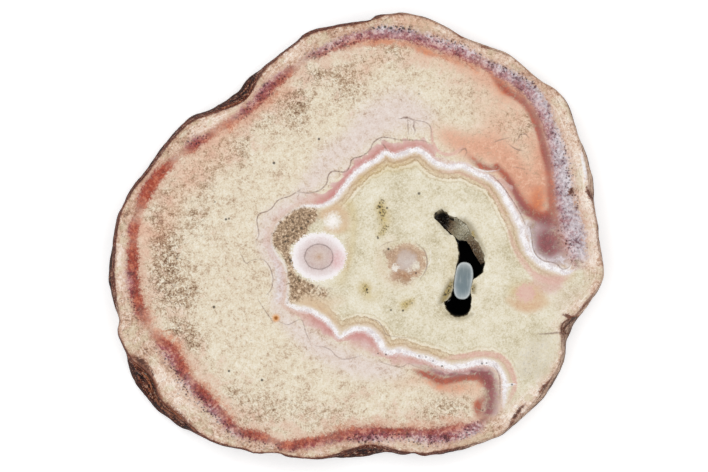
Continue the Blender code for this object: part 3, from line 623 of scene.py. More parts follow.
# The whitest parts of the skin.
PALE_SKIN = (
    ((565, 130, 10, .8), (582, 165, 9, 1), (588, 205, 9, 1), (592, 235, 9, 1), (592, 260, 9, 1)),
    ((560, 105, 9, .7),),
    ((152, 365, 7, .6), (162, 378, 8, 1), (175, 395, 8, .8), (192, 412, 6, .5)),
    ((122, 240, 5, .6), (121, 252, 6, .9), (122, 266, 6, .9), (123, 284, 6, .7)),
    ((195, 134, 5, .9), (205, 127, 5, .9), (230, 113, 6, .6), (262, 82, 5, .5), (300, 45, 6, .5)),
    ((470, 45, 6, .6), (500, 58, 6, .6)),
    ((577, 296, 12, 1), (562, 309, 13, .9), (550, 350, 16, .7), (540, 370, 14, .8), (522, 398, 13, .8),
     (506, 420, 10, .6)),
    ((425, 25, 5, .1), (442, 29, 5, .3), (456, 36, 4, .5)),
)

# Where the skin comes back over the pale quartz, at the lower right.
SKIN_RETURN = (
    ((576, 262, 6, .4), (590, 268, 10, .8), (596, 284, 13, .95), (588, 300, 14, .9),
     (572, 314, 12, .75), (558, 326, 10, .6)),
    ((566, 340, 9, .8), (563, 356, 10, .85), (558, 372, 11, .9), (546, 388, 12, .95), (530, 402, 12, 1),
     (514, 416, 12, 1), (505, 428, 12, 1)),
    ((498, 432, 10, 1), (490, 428, 8, .8)),
)

# Tan haloes in the middle quartz, olive dust about the hollow, and an ashen patch at the right.
TAN_HALO = (
    ((324, 214, 6, .9), (334, 208, 6, .9), (344, 215, 6, .9), (342, 229, 6, .85), (327, 229, 4, .7)),
    ((300, 290, 9, .7), (312, 298, 9, .7), (326, 303, 9, .6), (340, 300, 8, .4)),
    ((300, 304, 6, .6), (314, 308, 6, .7), (328, 315, 6, .7), (338, 325, 5, .5)),
    ((347, 240, 3, .4), (349, 256, 3, .4), (346, 270, 3, .4)),
    ((509, 300, 5, .7), (519, 307, 5, .8), (534, 307, 6, .9), (545, 299, 6, .7), (514, 290, 4, .6),
     (540, 288, 3, .4)),
    ((566, 280, 4, .4), (578, 272, 4, .4)),
    ((392, 240, 8, .3), (381, 250, 7, .35), (380, 264, 7, .4), (386, 276, 7, .45), (399, 284, 8, .4),
     (413, 284, 6, .3)),
)

OLIVE_DUST = (
    ((459, 219, 4, .5), (465, 222, 5, .75), (470, 228, 5.5, .8), (474, 234, 5, .75),
     (479, 241, 3.6, .6), (484, 250, 3, .5), (485.5, 258, 2.2, .4)),
    ((438, 222, 2.4, .5), (444, 230, 2.4, .5), (450, 236, 2, .4)),
    ((452, 281, 4, .9), (448, 290, 5, 1), (445, 297, 5, 1), (441, 302, 4, .7)),
    ((446, 313, 3, .5), (455, 317.5, 3.2, .65), (465, 317.5, 3.2, .6), (472, 314, 2.6, .5)),
    ((474, 286, 3, .8), (473.5, 297, 2.6, .7)),
    ((434, 213, 2, .4), (441, 208, 2, .4), (448, 212, 2, .4)),
)

ASHEN = (
    ((546, 342, 12, .35), (532, 356, 12, .6), (526, 372, 10, .6), (550, 358, 12, .35),
     (540, 374, 9, .5)),
)

# Places where single dark dots crowd along the ring.
DOTTED_EDGE = (
    ((371, 30, 3, .6), (380, 28, 3.5, .9), (392, 27, 3.5, 1), (404, 28, 3.5, 1), (416, 32, 3.5, 1)),
    ((428, 36, 4, 1), (440, 40, 4, 1), (450, 43, 4.5, 1), (460, 47, 4.5, 1), (470, 52, 4.5, 1),
     (479, 57, 4, .9)),
    ((486, 62, 3, 1), (496, 66, 3.5, 1), (508, 70, 3.5, 1), (519, 75, 3.5, 1), (528, 80, 3, 1),
     (536, 88, 3, .7), (541, 95, 3, .4)),
    ((549, 115, 4, .4), (556, 132, 6, .5), (564, 150, 6, .6), (569, 168, 7, .6), (570, 185, 8, .6),
     (576, 205, 7, .5)),
    ((350, 437, 6, .6), (365, 440, 6, .9), (380, 438, 7, .9), (400, 438, 5, .9), (420, 441, 6, .9),
     (440, 441, 6, .9), (455, 437, 6, .9), (468, 431, 6, .9), (477, 426, 5, .8)),
    ((157, 349, 5, .6), (168, 360, 5, .8), (178, 374, 5, .8), (186, 388, 6, .9), (198, 400, 6, .9),
     (210, 412, 6, .9), (221, 421, 5, .9), (232, 433, 6, .9), (248, 439, 5, .7), (265, 444, 4, .6),
     (290, 449, 4, .5)),
    ((127, 290, 4, .5), (132, 305, 5, .6), (138, 318, 4, .6)),
    ((310, 55, 6, .7), (322, 52, 6, .8), (334, 46, 6, .9), (346, 41, 6, .9), (360, 35, 5, .8)),
    ((262, 93, 7, .7), (272, 84, 6, .6), (284, 78, 5, .5), (246, 112, 5, .6), (240, 118, 4, .5)),
    ((192, 143, 7, .7), (205, 138, 5, .6)),
    ((133, 270, 7, .4),),
    ((560, 232, 13, .4), (572, 250, 9, .6), (575, 262, 6, .6)),
    ((484, 408, 5, .6),),
    ((480, 61, 4, .6),),
)


BATCH = 4096  # places that are measured together
SOFT_REACH = 2.6  # radii within which a soft stroke counts
LINE_END = 1.7  # how far from its stroke a hairline has faded out
LINE_FADE = 0.7  # over how much of that it fades


def drawn(strokes, spacing):
    """Strokes of the grid as smooth chains of short straight pieces, in millimetres: arrays of their
    starts and their ends, each row with the stroke's own columns. A stroke of one point is a piece
    without length."""
    starts, ends = [], []
    for stroke in strokes:
        points = on_slab(stroke)
        if len(points) == 1:
            points = np.repeat(points, 2, axis=0)
        if len(points) > 2:
            reach = np.hypot(*np.diff(points[:, :2], axis=0).T).sum()
            points = smooth_curve(points, max(int(reach / spacing), 4), closed=False)
        starts.append(points[:-1])
        ends.append(points[1:])
    return np.vstack(starts), np.vstack(ends)


def nearest_on(places, starts, ends):
    """For each place the signed distance to the nearest of the straight pieces, positive on its
    left, and that piece's columns where it is nearest, blended between its two ends."""
    step = ends[:, :2] - starts[:, :2]
    square = np.maximum((step**2).sum(1), 1e-9)
    signed = np.empty(len(places))
    columns = np.empty((len(places), starts.shape[1] - 2))
    for first in range(0, len(places), BATCH):
        part = slice(first, first + BATCH)
        away = places[part, None, :] - starts[None, :, :2]
        share = np.clip((away * step).sum(2) / square, 0, 1)
        off = away - share[:, :, None] * step
        distance = (off**2).sum(2)
        best = distance.argmin(1)
        row = np.arange(len(best))
        side = step[best, 0] * away[row, best, 1] - step[best, 1] * away[row, best, 0]
        signed[part] = np.sqrt(distance[row, best]) * np.where(side >= 0, 1, -1)
        along = share[row, best][:, None]
        columns[part] = starts[best, 2:] * (1 - along) + ends[best, 2:] * along
    return signed, columns


def around(places, points, count):
    """nearest_on for one closed smooth curve."""
    curve = smooth_curve(points, count, closed=True)
    return nearest_on(places, curve, np.roll(curve, -1, axis=0))


def soft(places, strokes):
    """The strength of the strokes at each place. Every point of a stroke gives its strength times
    exp(-(distance / radius)^2), and they add up as coats of thin paint: 1 - product of (1 - coat)."""
    left = np.ones(len(places))
    for stroke in strokes:
        starts, ends = drawn([stroke], spacing=1.2)
        reach = SOFT_REACH * starts[:, 2].max()
        low, high = starts[:, :2].min(0) - reach, starts[:, :2].max(0) + reach
        near = np.flatnonzero(np.all((places > low) & (places < high), axis=1))
        signed, columns = nearest_on(places[near], starts, ends)
        left[near] *= 1 - columns[:, 1] * np.exp(-((signed / columns[:, 0]) ** 2))
    return 1 - left


def near_line(places, strokes):
    """Signed distance to the nearest stroke in its half widths, and its strength, which fades out
    before LINE_END, so that it ends before another stroke takes over."""
    starts, ends = drawn(strokes, spacing=0.8)
    signed, columns = nearest_on(places, starts, ends)
    fade = np.clip((LINE_END - np.abs(signed)) / LINE_FADE, 0, 1)
    return signed / columns[:, 0], columns[:, 1] * fade


def store(piece, name, values):
    """Stores one value for each of the piece's points, which its material reads by this name."""
    layer = piece.data.attributes.new(name, "FLOAT", "POINT")
    layer.data.foreach_set("value", np.asarray(values, np.float32).ravel())


def lay_out_bands(piece, rows):
    """Stores on the slice's points every line's distance and every stain's strength."""
    places = rows[:, :, :2].reshape(-1, 2)
    readings = {}
    signed, columns = around(places, on_slab(RING), count=420)
    for name, column in zip(("ring_width", "ring_strength", "ring_hue", "ring_orange"), columns.T):
        readings[name] = column
    readings["ring"] = signed
    signed, columns = around(places, on_slab(LACE, lengths=2), count=460)
    names = ("lace_width", "rose_reach", "lace_strength", "rose_strength", "tan_strength")
    for name, column in zip(names, columns.T):
        readings[name] = column
    readings["lace"] = signed
    # The face's edge at every fourth spoke, with its run so far in a third column.
    face_edge = rows[FACE_ROWS - 1][::4, :2]
    steps = np.hypot(*(np.roll(face_edge, -1, axis=0) - face_edge).T)
    face_edge = np.column_stack([face_edge, np.cumsum(steps)])
    signed, columns = nearest_on(places, face_edge, np.roll(face_edge, -1, axis=0))
    readings["from_edge"], readings["along_edge"] = signed, columns[:, 0]
    for name, strokes in (
        ("grey_hair", GREY_HAIRLINES), ("pink_hair", PINK_HAIRLINES), ("white_hair", WHITE_HAIRLINES)
    ):
        readings[name], readings[name + "_strength"] = near_line(places, strokes)
    for name, strokes in (
        ("mottling", MOTTLING), ("pale_zone", PALE_ZONE), ("peach", PEACH_FLUSH),
        ("brick", BRICK_STAINS), ("ember", EMBER_GLOW), ("plum", PLUM_STAINS),
        ("mauve", MAUVE_BLOOM), ("lilac", LILAC_WHITE), ("rosy", ROSY_LOBES),
        ("grit", BROWN_GRIT), ("golden", GOLDEN_STAINS), ("soot", SOOT), ("rust", RUST),
        ("pale_skin", PALE_SKIN), ("dotted", DOTTED_EDGE), ("skin_return", SKIN_RETURN),
        ("tan_halo", TAN_HALO), ("dust", OLIVE_DUST), ("ashen", ASHEN),
    ):
        readings[name] = soft(places, strokes)
    for name, values in readings.items():
        store(piece, name, values)


lay_out_bands(agate_stone, stone_rows)

# ---- The slice: colour and polish -------------------------------------------------------------
# The same bands show on the polished face and, duller, on the sawn back, so their colour is one
# node group. The quartz between them is a mass of interlocking grains that holds specks of iron.


def tint(red, green, blue):
    """A display colour from 0 to 255 as the linear colour that shaders take."""
    shares = np.array([red, green, blue]) / 255
    linear = np.where(shares <= 0.04045, shares / 12.92, ((shares + 0.055) / 1.055) ** 2.4)
    return (*linear.tolist(), 1.0)


class Level:
    """A number that changes over a surface. Sums, products and powers of levels are Math nodes."""

    def __init__(self, recipe, socket):
        self.recipe = recipe
        self.socket = socket

    def _math(self, operation, first, second=None):
        return self.recipe.calculate(operation, first, second)

    def __add__(self, other):
        return self._math("ADD", self, other)

    def __sub__(self, other):
        return self._math("SUBTRACT", self, other)

    def __rsub__(self, other):
        return self._math("SUBTRACT", other, self)

    def __mul__(self, other):
        return self._math("MULTIPLY", self, other)

    def __truediv__(self, other):
        return self._math("DIVIDE", self, other)

    __radd__ = __add__
    __rmul__ = __mul__

    def size(self):
        return self._math("ABSOLUTE", self)

    def most(self, other):
        return self._math("MAXIMUM", self, other)

    def rise(self, low, high):
        """0 below low and 1 above high, in a smooth step, or the reverse where low is above high."""
        return self.recipe.rise(self, low, high)

    def line(self, half_width, blur):
        """1 where the level is within half_width of 0, fading to 0 over blur."""
        return 1 - (self.size() - half_width).rise(0.0, blur)


def socket_of(value):
    """The socket that a level stands for. Any other value stays as it is."""
    return value.socket if isinstance(value, Level) else value


class Recipe:
    """Writes one node tree step by step. Each step gives the level or the colour that it makes."""

    def __init__(self, tree):
        self.tree = tree
        place = self.step("ShaderNodeTexCoord", {}, "Object")
        self.place = self.step("ShaderNodeVectorMath", {0: place, "Scale": 1000.0}, operation="SCALE")

    def step(self, kind, inputs, output=0, **settings):
        node = self.tree.nodes.new(kind)
        for name, value in settings.items():
            setattr(node, name, value)
        for name, value in inputs.items():
            value = socket_of(value)
            if isinstance(value, bpy.types.NodeSocket):
                self.tree.links.new(value, node.inputs[name])
            else:
                node.inputs[name].default_value = value
        return node.outputs[output]

    def calculate(self, operation, first, second=None):
        inputs = {0: first} if second is None else {0: first, 1: second}
        return Level(self, self.step("ShaderNodeMath", inputs, operation=operation))

    def rise(self, value, low, high):
        inputs = {"Value": value, "From Min": low, "From Max": high}
        return Level(self, self.step("ShaderNodeMapRange", inputs, interpolation_type="SMOOTHSTEP"))

    def reading(self, name):
        """A value stored on the mesh's points."""
        return Level(self, self.step("ShaderNodeAttribute", {}, "Fac", attribute_name=name))

    def coordinate(self, axis):
        """The place's X, Y or Z in millimetres."""
        return Level(self, self.step("ShaderNodeSeparateXYZ", {0: self.place}, axis))

    def grain(self, size, detail=2.0, roughness=0.5, place=None):
        """Noise about 0, mostly from -0.25 to 0.25, whose features are size millimetres apart."""
        inputs = {
            "Vector": self.place if place is None else place,
            "Scale": 1 / size,
            "Detail": detail,
            "Roughness": roughness,
        }
        return Level(self, self.step("ShaderNodeTexNoise", inputs)) - 0.5

    def shifted(self, reach, size):
        """The place, pushed about by noise by up to about a quarter of reach."""
        inputs = {"Vector": self.place, "Scale": 1 / size, "Detail": 2.0}
        noise = self.step("ShaderNodeTexNoise", inputs, "Color")
        centred = self.step("ShaderNodeVectorMath", {0: noise, 1: (0.5, 0.5, 0.5)}, operation="SUBTRACT")
        inputs = {0: centred, 1: (reach, reach, reach), 2: self.place}
        return self.step("ShaderNodeVectorMath", inputs, operation="MULTIPLY_ADD")

    def cells(self, size, place, output="Distance"):
        """A pattern of cells about size millimetres across: the distance from a cell's middle in
        cells, or, as its Color, one chance value for each cell."""
        inputs = {"Vector": place, "Scale": 1 / size}
        return Level(self, self.step("ShaderNodeTexVoronoi", inputs, output))

    def blend(self, share, under, over, mode="MIX"):
        inputs = {0: share, 6: under, 7: over}
        settings = {"data_type": "RGBA", "blend_type": mode, "clamp_factor": True}
        return self.step("ShaderNodeMix", inputs, 2, **settings)

    def ramp(self, level, *stops):
        """A colour that runs through the stops, each a position and the display colour there."""
        node = self.tree.nodes.new("ShaderNodeValToRGB")
        self.tree.links.new(level.socket, node.inputs[0])
        points = node.color_ramp.elements
        for _ in range(len(stops) - 2):
            points.new(0.5)
        for point, (position, *colour) in zip(points, stops):
            point.position = position
            point.color = tint(*colour)
        return node.outputs[0]

    def distance_to(self, x, y, stretch=1.0):
        """The distance in millimetres from the upright line through x, y of the grid, with the
        distance along the slab's y times stretch."""
        x, y = on_slab([(x, y)], lengths=0)[0]
        flat = self.step(
            "ShaderNodeVectorMath", {0: self.place, 1: (1.0, stretch, 0.0)}, operation="MULTIPLY"
        )
        inputs = {0: flat, 1: (x, y * stretch, 0.0)}
        return Level(self, self.step("ShaderNodeVectorMath", inputs, "Value", operation="DISTANCE"))


# Small dark inclusions in the quartz: x, y and radius in steps of the grid, and strength.
SPECKS = (
    (319, 139, 1.2, .9), (274, 163, 1.4, .9), (215, 202, .9, .6), (226, 219.3, 1.2, .9),
    (229, 218.6, 1, .8), (214, 307, 1.4, .9), (229, 371, 1.2, .9), (262, 380, 1.3, .9), (419, 94, .8, .6),
    (419, 193.5, 1.4, .8), (388.5, 249, 1.2, .9), (416, 273, 1, .8), (391, 310, 1, .8),
    (285.5, 241.5, 1.2, .9), (308, 221.5, 1.2, .8), (367, 289.5, 1.1, .9), (367.5, 292.5, .9, .8),
    (403, 310.5, 1.1, .9), (412, 303, .8, .6), (380, 207, 1.3, .8), (387, 208, 1.2, .8),
    (380, 213, 1, .7), (383, 203, .8, .6), (378, 238, 1.1, .8), (473, 237.8, 1.3, 1), (448, 229.4, 1, 1),
    (472.5, 289, .9, .9), (378, 353.5, .8, .7), (386, 354.5, .9, .8), (419, 356, .8, .7),
    (426, 357, .8, .7), (433, 361, .8, .7), (442, 366, 1, .8), (482, 363.5, 1, .8), (486.5, 363, .8, .7),
    (512, 384.5, 1, .8), (177, 258.5, .9, .8), (374, 28.5, 1, .8), (379, 27.5, 1.3, .85),
    (385, 27, 1.5, .9), (391, 28, 1.5, .85), (397, 27, 1.2, .8), (403, 28, 1.3, .85),
    (410, 29.5, 1.2, .8), (416, 32, 1, .7),
)


def speck_mask(recipe):
    """The greatest of the specks' strengths: each is full within 0.4 of the speck's radius and falls
    to 0 at 1.5 of it."""
    mask = None
    for x, y, radius, strength in SPECKS:
        radius = radius * GRID_STEP
        one = recipe.distance_to(x, y).rise(1.5 * radius, 0.4 * radius) * strength
        mask = one if mask is None else mask.most(one)
    return mask


def quartz(recipe, fine, curls, mass):
    """The two kinds of quartz, as colours: the tan mass under the ring, and the greenish cream of
    the middle. The tan one runs from brown veins to cream hearts, most where it is mottled, and
    blushes here and there, most of all near the ring."""
    cloud = recipe.grain(7.0, 2.0, 0.55)
    mottling = recipe.reading("mottling")
    tone = (mass + fine * 0.5) * (0.66 + mottling * 0.86) + cloud * 0.25 - mottling * 0.14 + 0.02
    outer = recipe.ramp(
        tone + 0.5,
        (0.18, 114, 82, 56), (0.37, 190, 162, 134), (0.48, 224, 209, 184), (0.6, 235, 225, 203),
        (0.78, 247, 241, 228),
    )
    near_ring = recipe.reading("ring").rise(14.0, 1.0) * 0.24
    blush = (recipe.grain(4.0, 3.0, 0.6) + mass * 0.6 + near_ring).rise(0.08, 0.36)
    outer = recipe.blend(blush * 0.65, outer, tint(223, 187, 166))
    threads = recipe.grain(1.2, 2.0, 0.6, recipe.shifted(1.6, 1.3)).size().rise(0.055, 0.01)
    some = (curls + mottling * 0.4 - 0.05).rise(0.0, 0.36)
    outer = recipe.blend(threads * some * 0.8, outer, tint(112, 76, 52))
    inner = recipe.ramp(
        cloud * 0.8 + mass * 0.7 + fine * 0.6 + 0.5,
        (0.2, 198, 186, 152), (0.5, 227, 218, 194), (0.8, 240, 235, 218),
    )
    return outer, inner


def skin(recipe, mass):
    """The thin skin under the rind: peach to greenish cream, full of dark pinpricks and pale
    flecks, with a few rusty threads that run along the edge."""
    sand = recipe.grain(0.55, 3.0, 0.72)
    pale = recipe.reading("pale_skin")
    colour = recipe.ramp(
        recipe.grain(9.0, 1.0) * 0.3 + sand * 1.05 + mass * 0.8 + pale * 0.2 + 0.49,
        (0.22, 128, 88, 68), (0.4, 194, 158, 132), (0.5, 219, 189, 166), (0.64, 235, 214, 196),
        (0.82, 250, 240, 228),
    )
    greenish = recipe.grain(3.0, 2.0).rise(-0.02, 0.14) * 0.5
    colour = recipe.blend(greenish, colour, tint(214, 204, 172))
    pricks = recipe.cells(0.62, recipe.shifted(0.8, 0.5))
    some = (mass + recipe.grain(1.4, 1.0) + recipe.reading("mottling") * 0.3).rise(0.0, 0.2)
    colour = recipe.blend(pricks.rise(0.36, 0.16) * some * 0.6, colour, tint(98, 70, 56))
    inputs = {"X": recipe.reading("along_edge") * 0.12, "Y": recipe.reading("from_edge")}
    along = recipe.step("ShaderNodeCombineXYZ", inputs)
    streak = recipe.grain(0.8, 3.0, 0.6, along)
    colour = recipe.blend(streak.rise(0.04, 0.2) * (0.3 + pale * 0.6), colour, tint(252, 240, 228))
    thread = streak.size().rise(0.03, 0.0) * (mass + 0.1).rise(0.0, 0.2)
    return recipe.blend(thread * 0.5, colour, tint(164, 98, 72))


def ring_coat(recipe, colour, fine, curls, mass):
    """Lays the coloured ring over the quartz and the skin: a band about the ring's line, rubbed
    thin by noise, orange on its inner side and full of dots where it turns to lavender."""
    ring = recipe.reading("ring") + mass * 3.0
    width = recipe.reading("ring_width")
    hue = recipe.reading("ring_hue")
    strength = recipe.reading("ring_strength")
    inside = (ring - width) / (width * 1.1)
    broken = (recipe.grain(2.6, 3.0, 0.6) + mass * 0.5).rise(-0.12, 0.14)
    glow = (inside + curls * 1.6 + fine).line(0.25, 0.85) * recipe.reading("ring_orange") * broken
    ochre = recipe.blend((mass + fine).rise(-0.1, 0.25), tint(198, 112, 76), tint(222, 158, 126))
    colour = recipe.blend(glow * 0.95, colour, ochre)
    halo = (ring / width).line(0.9, 1.3) * strength * 0.4
    colour = recipe.blend(halo, colour, tint(202, 152, 128))
    speckle = recipe.grain(0.6, 3.0, 0.72, recipe.shifted(0.7, 0.6))
    hue = hue - (ring / width) * 0.22 + mass * 0.6
    paint = recipe.ramp(
        hue + curls * 0.5 + mass * 1.4,
        (0.0, 166, 70, 48), (0.3, 156, 72, 60), (0.52, 152, 80, 86), (0.75, 177, 131, 137),
        (1.0, 193, 181, 186),
    )
    shade = recipe.ramp(hue, (0.2, 108, 36, 28), (0.6, 94, 42, 50), (1.0, 124, 94, 104))
    light = recipe.ramp(hue, (0.2, 208, 126, 96), (0.6, 218, 180, 172), (1.0, 219, 209, 215))
    clusters = speckle + mass * 1.1 + recipe.grain(2.4, 2.0, 0.6) * 0.8
    paint = recipe.blend(clusters.rise(0.02, 0.22) * (hue * 0.3 + 0.66), paint, shade)
    paint = recipe.blend(clusters.rise(-0.02, -0.22) * (hue * 0.25 + 0.7), paint, light)
    band = (ring / width + curls * 1.3 + fine * 0.8).line(0.5, 0.75)
    colour = recipe.blend(band * strength * (0.98 + curls), colour, paint)
    flecks = recipe.cells(0.6, recipe.shifted(0.6, 0.6))
    chosen = recipe.cells(0.6, recipe.shifted(0.6, 0.6), output="Color")
    dotted = recipe.reading("dotted")
    dots = flecks.rise(0.5, 0.22) * chosen.rise(0.64, 0.45) * dotted.rise(0.1, 0.6)
    colour = recipe.blend(dots * 0.9, colour, tint(62, 26, 32))
    flakes = clusters.rise(-0.02, -0.14) * dotted * hue.rise(0.3, 0.9)
    colour = recipe.blend(flakes * 0.55, colour, tint(233, 227, 231))
    return recipe.blend(clusters.rise(0.1, 0.26) * dotted * 0.9, colour, tint(70, 30, 38))


def stains(recipe, colour, fine, curls, mass):
    """Iron stains over the quartz, from the palest to the darkest. Noise breaks their borders and
    mixes each one's two shades."""
    torn = curls * 0.9 + fine * 0.5 + mass * 2.2
    shade = (mass + curls * 0.5).rise(-0.16, 0.2)
    for name, strength, ragged, deep, light in (
        ("pale_zone", 0.85, 1.0, (222, 204, 198), (233, 219, 212)),
        ("peach", 0.97, 1.3, (214, 148, 118), (233, 184, 158)),
        ("rosy", 0.85, 1.0, (206, 158, 151), (219, 178, 170)),
        ("golden", 0.75, 1.0, (198, 176, 122), (212, 192, 146)),
        ("mauve", 0.9, 1.4, (158, 124, 130), (190, 166, 169)),
        ("lilac", 0.75, 1.4, (204, 196, 202), (240, 236, 240)),
        ("ember", 0.9, 1.3, (194, 96, 58), (220, 136, 92)),
        ("brick", 0.95, 1.5, (144, 58, 48), (184, 98, 76)),
        ("plum", 0.95, 1.6, (118, 56, 62), (156, 94, 96)),
    ):
        mask = (recipe.reading(name) * (1 + torn * ragged)).rise(0.02, 0.98)
        colour = recipe.blend(mask * strength, colour, recipe.blend(shade, tint(*deep), tint(*light)))
    crumbs = (curls + mass).rise(0.2, 0.42) * recipe.reading("peach") * 0.5
    return recipe.blend(crumbs, colour, tint(140, 84, 64))


def lace(recipe, colour, fine, curls, inner, mass):
    """The bands round the middle, from the rose band in to the quartz. Each is a step of the
    distance to the lace's line, which is frayed across the bands as the fibres grew."""
    plain = recipe.reading("lace")
    frayed = plain + recipe.grain(0.4, 2.0) * 1.2 + mass * 0.7 + recipe.grain(2.2, 1.0) * 0.9
    width = recipe.reading("lace_width")
    reach = recipe.reading("rose_reach")
    rose = recipe.reading("rose_strength")
    tan = recipe.reading("tan_strength")
    strength = recipe.reading("lace_strength")
    middle = (plain + recipe.grain(1.2, 2.0) * 0.5).rise(-0.2, 0.8)
    colour = recipe.blend(middle, colour, inner)
    lobed = plain + reach + recipe.grain(2.8, 0.0).size() * 5.0 - 0.7
    outside = (lobed + curls * 0.4).rise(-0.22, 0.25) * (plain * -1 - width * 0.2).rise(-0.1, 0.5)
    deep = (plain * -1 / reach + mass * 0.6).rise(1.3, 0.25)
    pink = recipe.blend(deep, tint(222, 194, 187), tint(202, 132, 130))
    colour = recipe.blend(outside * rose * (0.95 + fine + mass), colour, pink)
    inside = plain - width + mass * 0.8
    golden = inside.rise(0.0, 0.3) * inside.rise(3.1, 1.7)
    tan_paint = recipe.ramp(
        inside / 3.2 + fine * 0.6 + mass * 0.9,
        (0.05, 222, 196, 172), (0.3, 200, 166, 130), (0.55, 216, 190, 154), (0.8, 227, 211, 182),
    )
    colour = recipe.blend(golden * tan * (0.85 + mass * 2), colour, tan_paint)
    scallops = inside + recipe.grain(1.8, 3.0, 0.65) * 2.0
    for away, strip, share, paint in (
        (2.5, 0.1, 0.8, (240, 228, 206)),
        (2.05, 0.04, 0.75, (172, 138, 100)),
        (1.0, 0.03, 0.5, (166, 130, 96)),
        (3.1, 0.04, 0.5, (192, 166, 122)),
    ):
        line = (scallops - away).line(strip, 0.28) * (0.9 + curls * 2)
        colour = recipe.blend(line * tan * share, colour, tint(*paint))
    veil = (frayed / width).line(1.1, 0.9) * strength * 0.5
    colour = recipe.blend(veil, colour, tint(232, 219, 216))
    white = (frayed / width).line(0.5, 0.6) * strength
    shine = (fine * 0.5 + mass * 1.3).rise(0.16, -0.1)
    white_paint = recipe.blend(shine, tint(218, 207, 208), tint(251, 248, 249))
    return recipe.blend(white, colour, white_paint)


def eyes(recipe, colour, fine, curls, mass):
    """Round eyes grown about a centre of their own: each ring is a step of the distance from it."""
    away = recipe.distance_to(319, 256.7, 1.13) + recipe.grain(1.3, 2.0) * 0.45
    frayed = away + recipe.grain(0.4, 2.0) * 2.4 + mass * 1.8
    face = recipe.ramp(
        away / 6.8 + fine * 0.14 + mass * 0.1,
        (0.0, 196, 160, 134), (0.09, 204, 178, 162), (0.22, 212, 191, 182), (0.4, 207, 187, 181),
        (0.5, 206, 188, 184), (0.57, 222, 206, 204), (0.72, 232, 219, 218), (0.83, 244, 237, 238),
        (1.0, 249, 245, 245),
    )
    blush = (recipe.distance_to(338, 260, 0.8) + curls).rise(3.0, 0.6) * 0.55
    face = recipe.blend(blush, face, tint(227, 180, 180))
    outline = (away - 3.4).line(0.0, 0.24)
    face = recipe.blend(outline * (0.62 + curls), face, tint(124, 100, 96))
    colour = recipe.blend(frayed.rise(6.9, 6.3), colour, face)
    smoky = recipe.distance_to(407, 261, 1.15) + recipe.grain(1.8, 3.0, 0.6) * 2.8
    second = recipe.ramp(
        smoky / 5.6 + fine * 0.5 + curls * 0.4,
        (0.0, 206, 194, 188), (0.34, 202, 184, 175), (0.58, 179, 143, 116), (0.8, 201, 170, 143),
        (0.94, 226, 212, 186), (1.0, 206, 190, 150),
    )
    colour = recipe.blend((smoky + curls * 2).rise(6.0, 4.4) * 0.9, colour, second)
    for place, reach, blur, strength, paint in (
        ((332.5, 221), 2.9, 2.6, 0.97, (251, 246, 243)),
        ((395, 276), 2.2, 1.8, 0.75, (180, 138, 112)),
        ((405, 278), 2.4, 2.0, 0.8, (166, 121, 88)),
        ((414, 274), 1.8, 1.5, 0.6, (186, 148, 120)),
        ((389, 252), 1.8, 1.4, 0.6, (172, 134, 110)),
        ((405, 255), 2.2, 1.6, 0.6, (200, 181, 168)),
        ((395, 268), 1.1, 0.8, 0.9, (240, 234, 224)),
        ((409, 271), 0.8, 0.7, 0.8, (236, 230, 216)),
        ((416.5, 266), 1.4, 1.1, 0.85, (234, 228, 210)),
        ((528, 297), 5.0, 3.4, 0.65, (216, 174, 136)),
        ((526, 293), 2.7, 1.2, 0.95, (225, 188, 174)),
    ):
        blob = (recipe.distance_to(*place) + curls * 3.4 + mass * 2.2).rise(reach, reach - blur)
        colour = recipe.blend(blob * strength, colour, tint(*paint))
    speckled = recipe.distance_to(526, 293.5).rise(3.0, 1.6) * (fine + mass).rise(0.08, 0.3)
    colour = recipe.blend(speckled * 0.5, colour, tint(196, 132, 104))
    drop = recipe.distance_to(276, 318)
    colour = recipe.blend(drop.rise(1.4, 0.35) * 0.85, colour, tint(226, 158, 88))
    return recipe.blend(drop.rise(0.65, 0.2) * 0.9, colour, tint(150, 84, 20))


def hairlines(recipe, colour, curls):
    """Lines a fraction of a millimetre wide: full within half of its half width from a stroke, and
    faded out over another blur half widths."""
    waver = recipe.grain(0.9, 2.0) * 0.6
    for name, paint, blur in (
        ("pink_hair", (222, 178, 166), 0.9),
        ("white_hair", (246, 244, 246), 0.7),
        ("grey_hair", (142, 114, 104), 1.3),
    ):
        line = (recipe.reading(name) + waver).line(0.5, blur) * (0.82 + curls * 2.4)
        colour = recipe.blend(line * recipe.reading(name + "_strength"), colour, tint(*paint))
    return colour


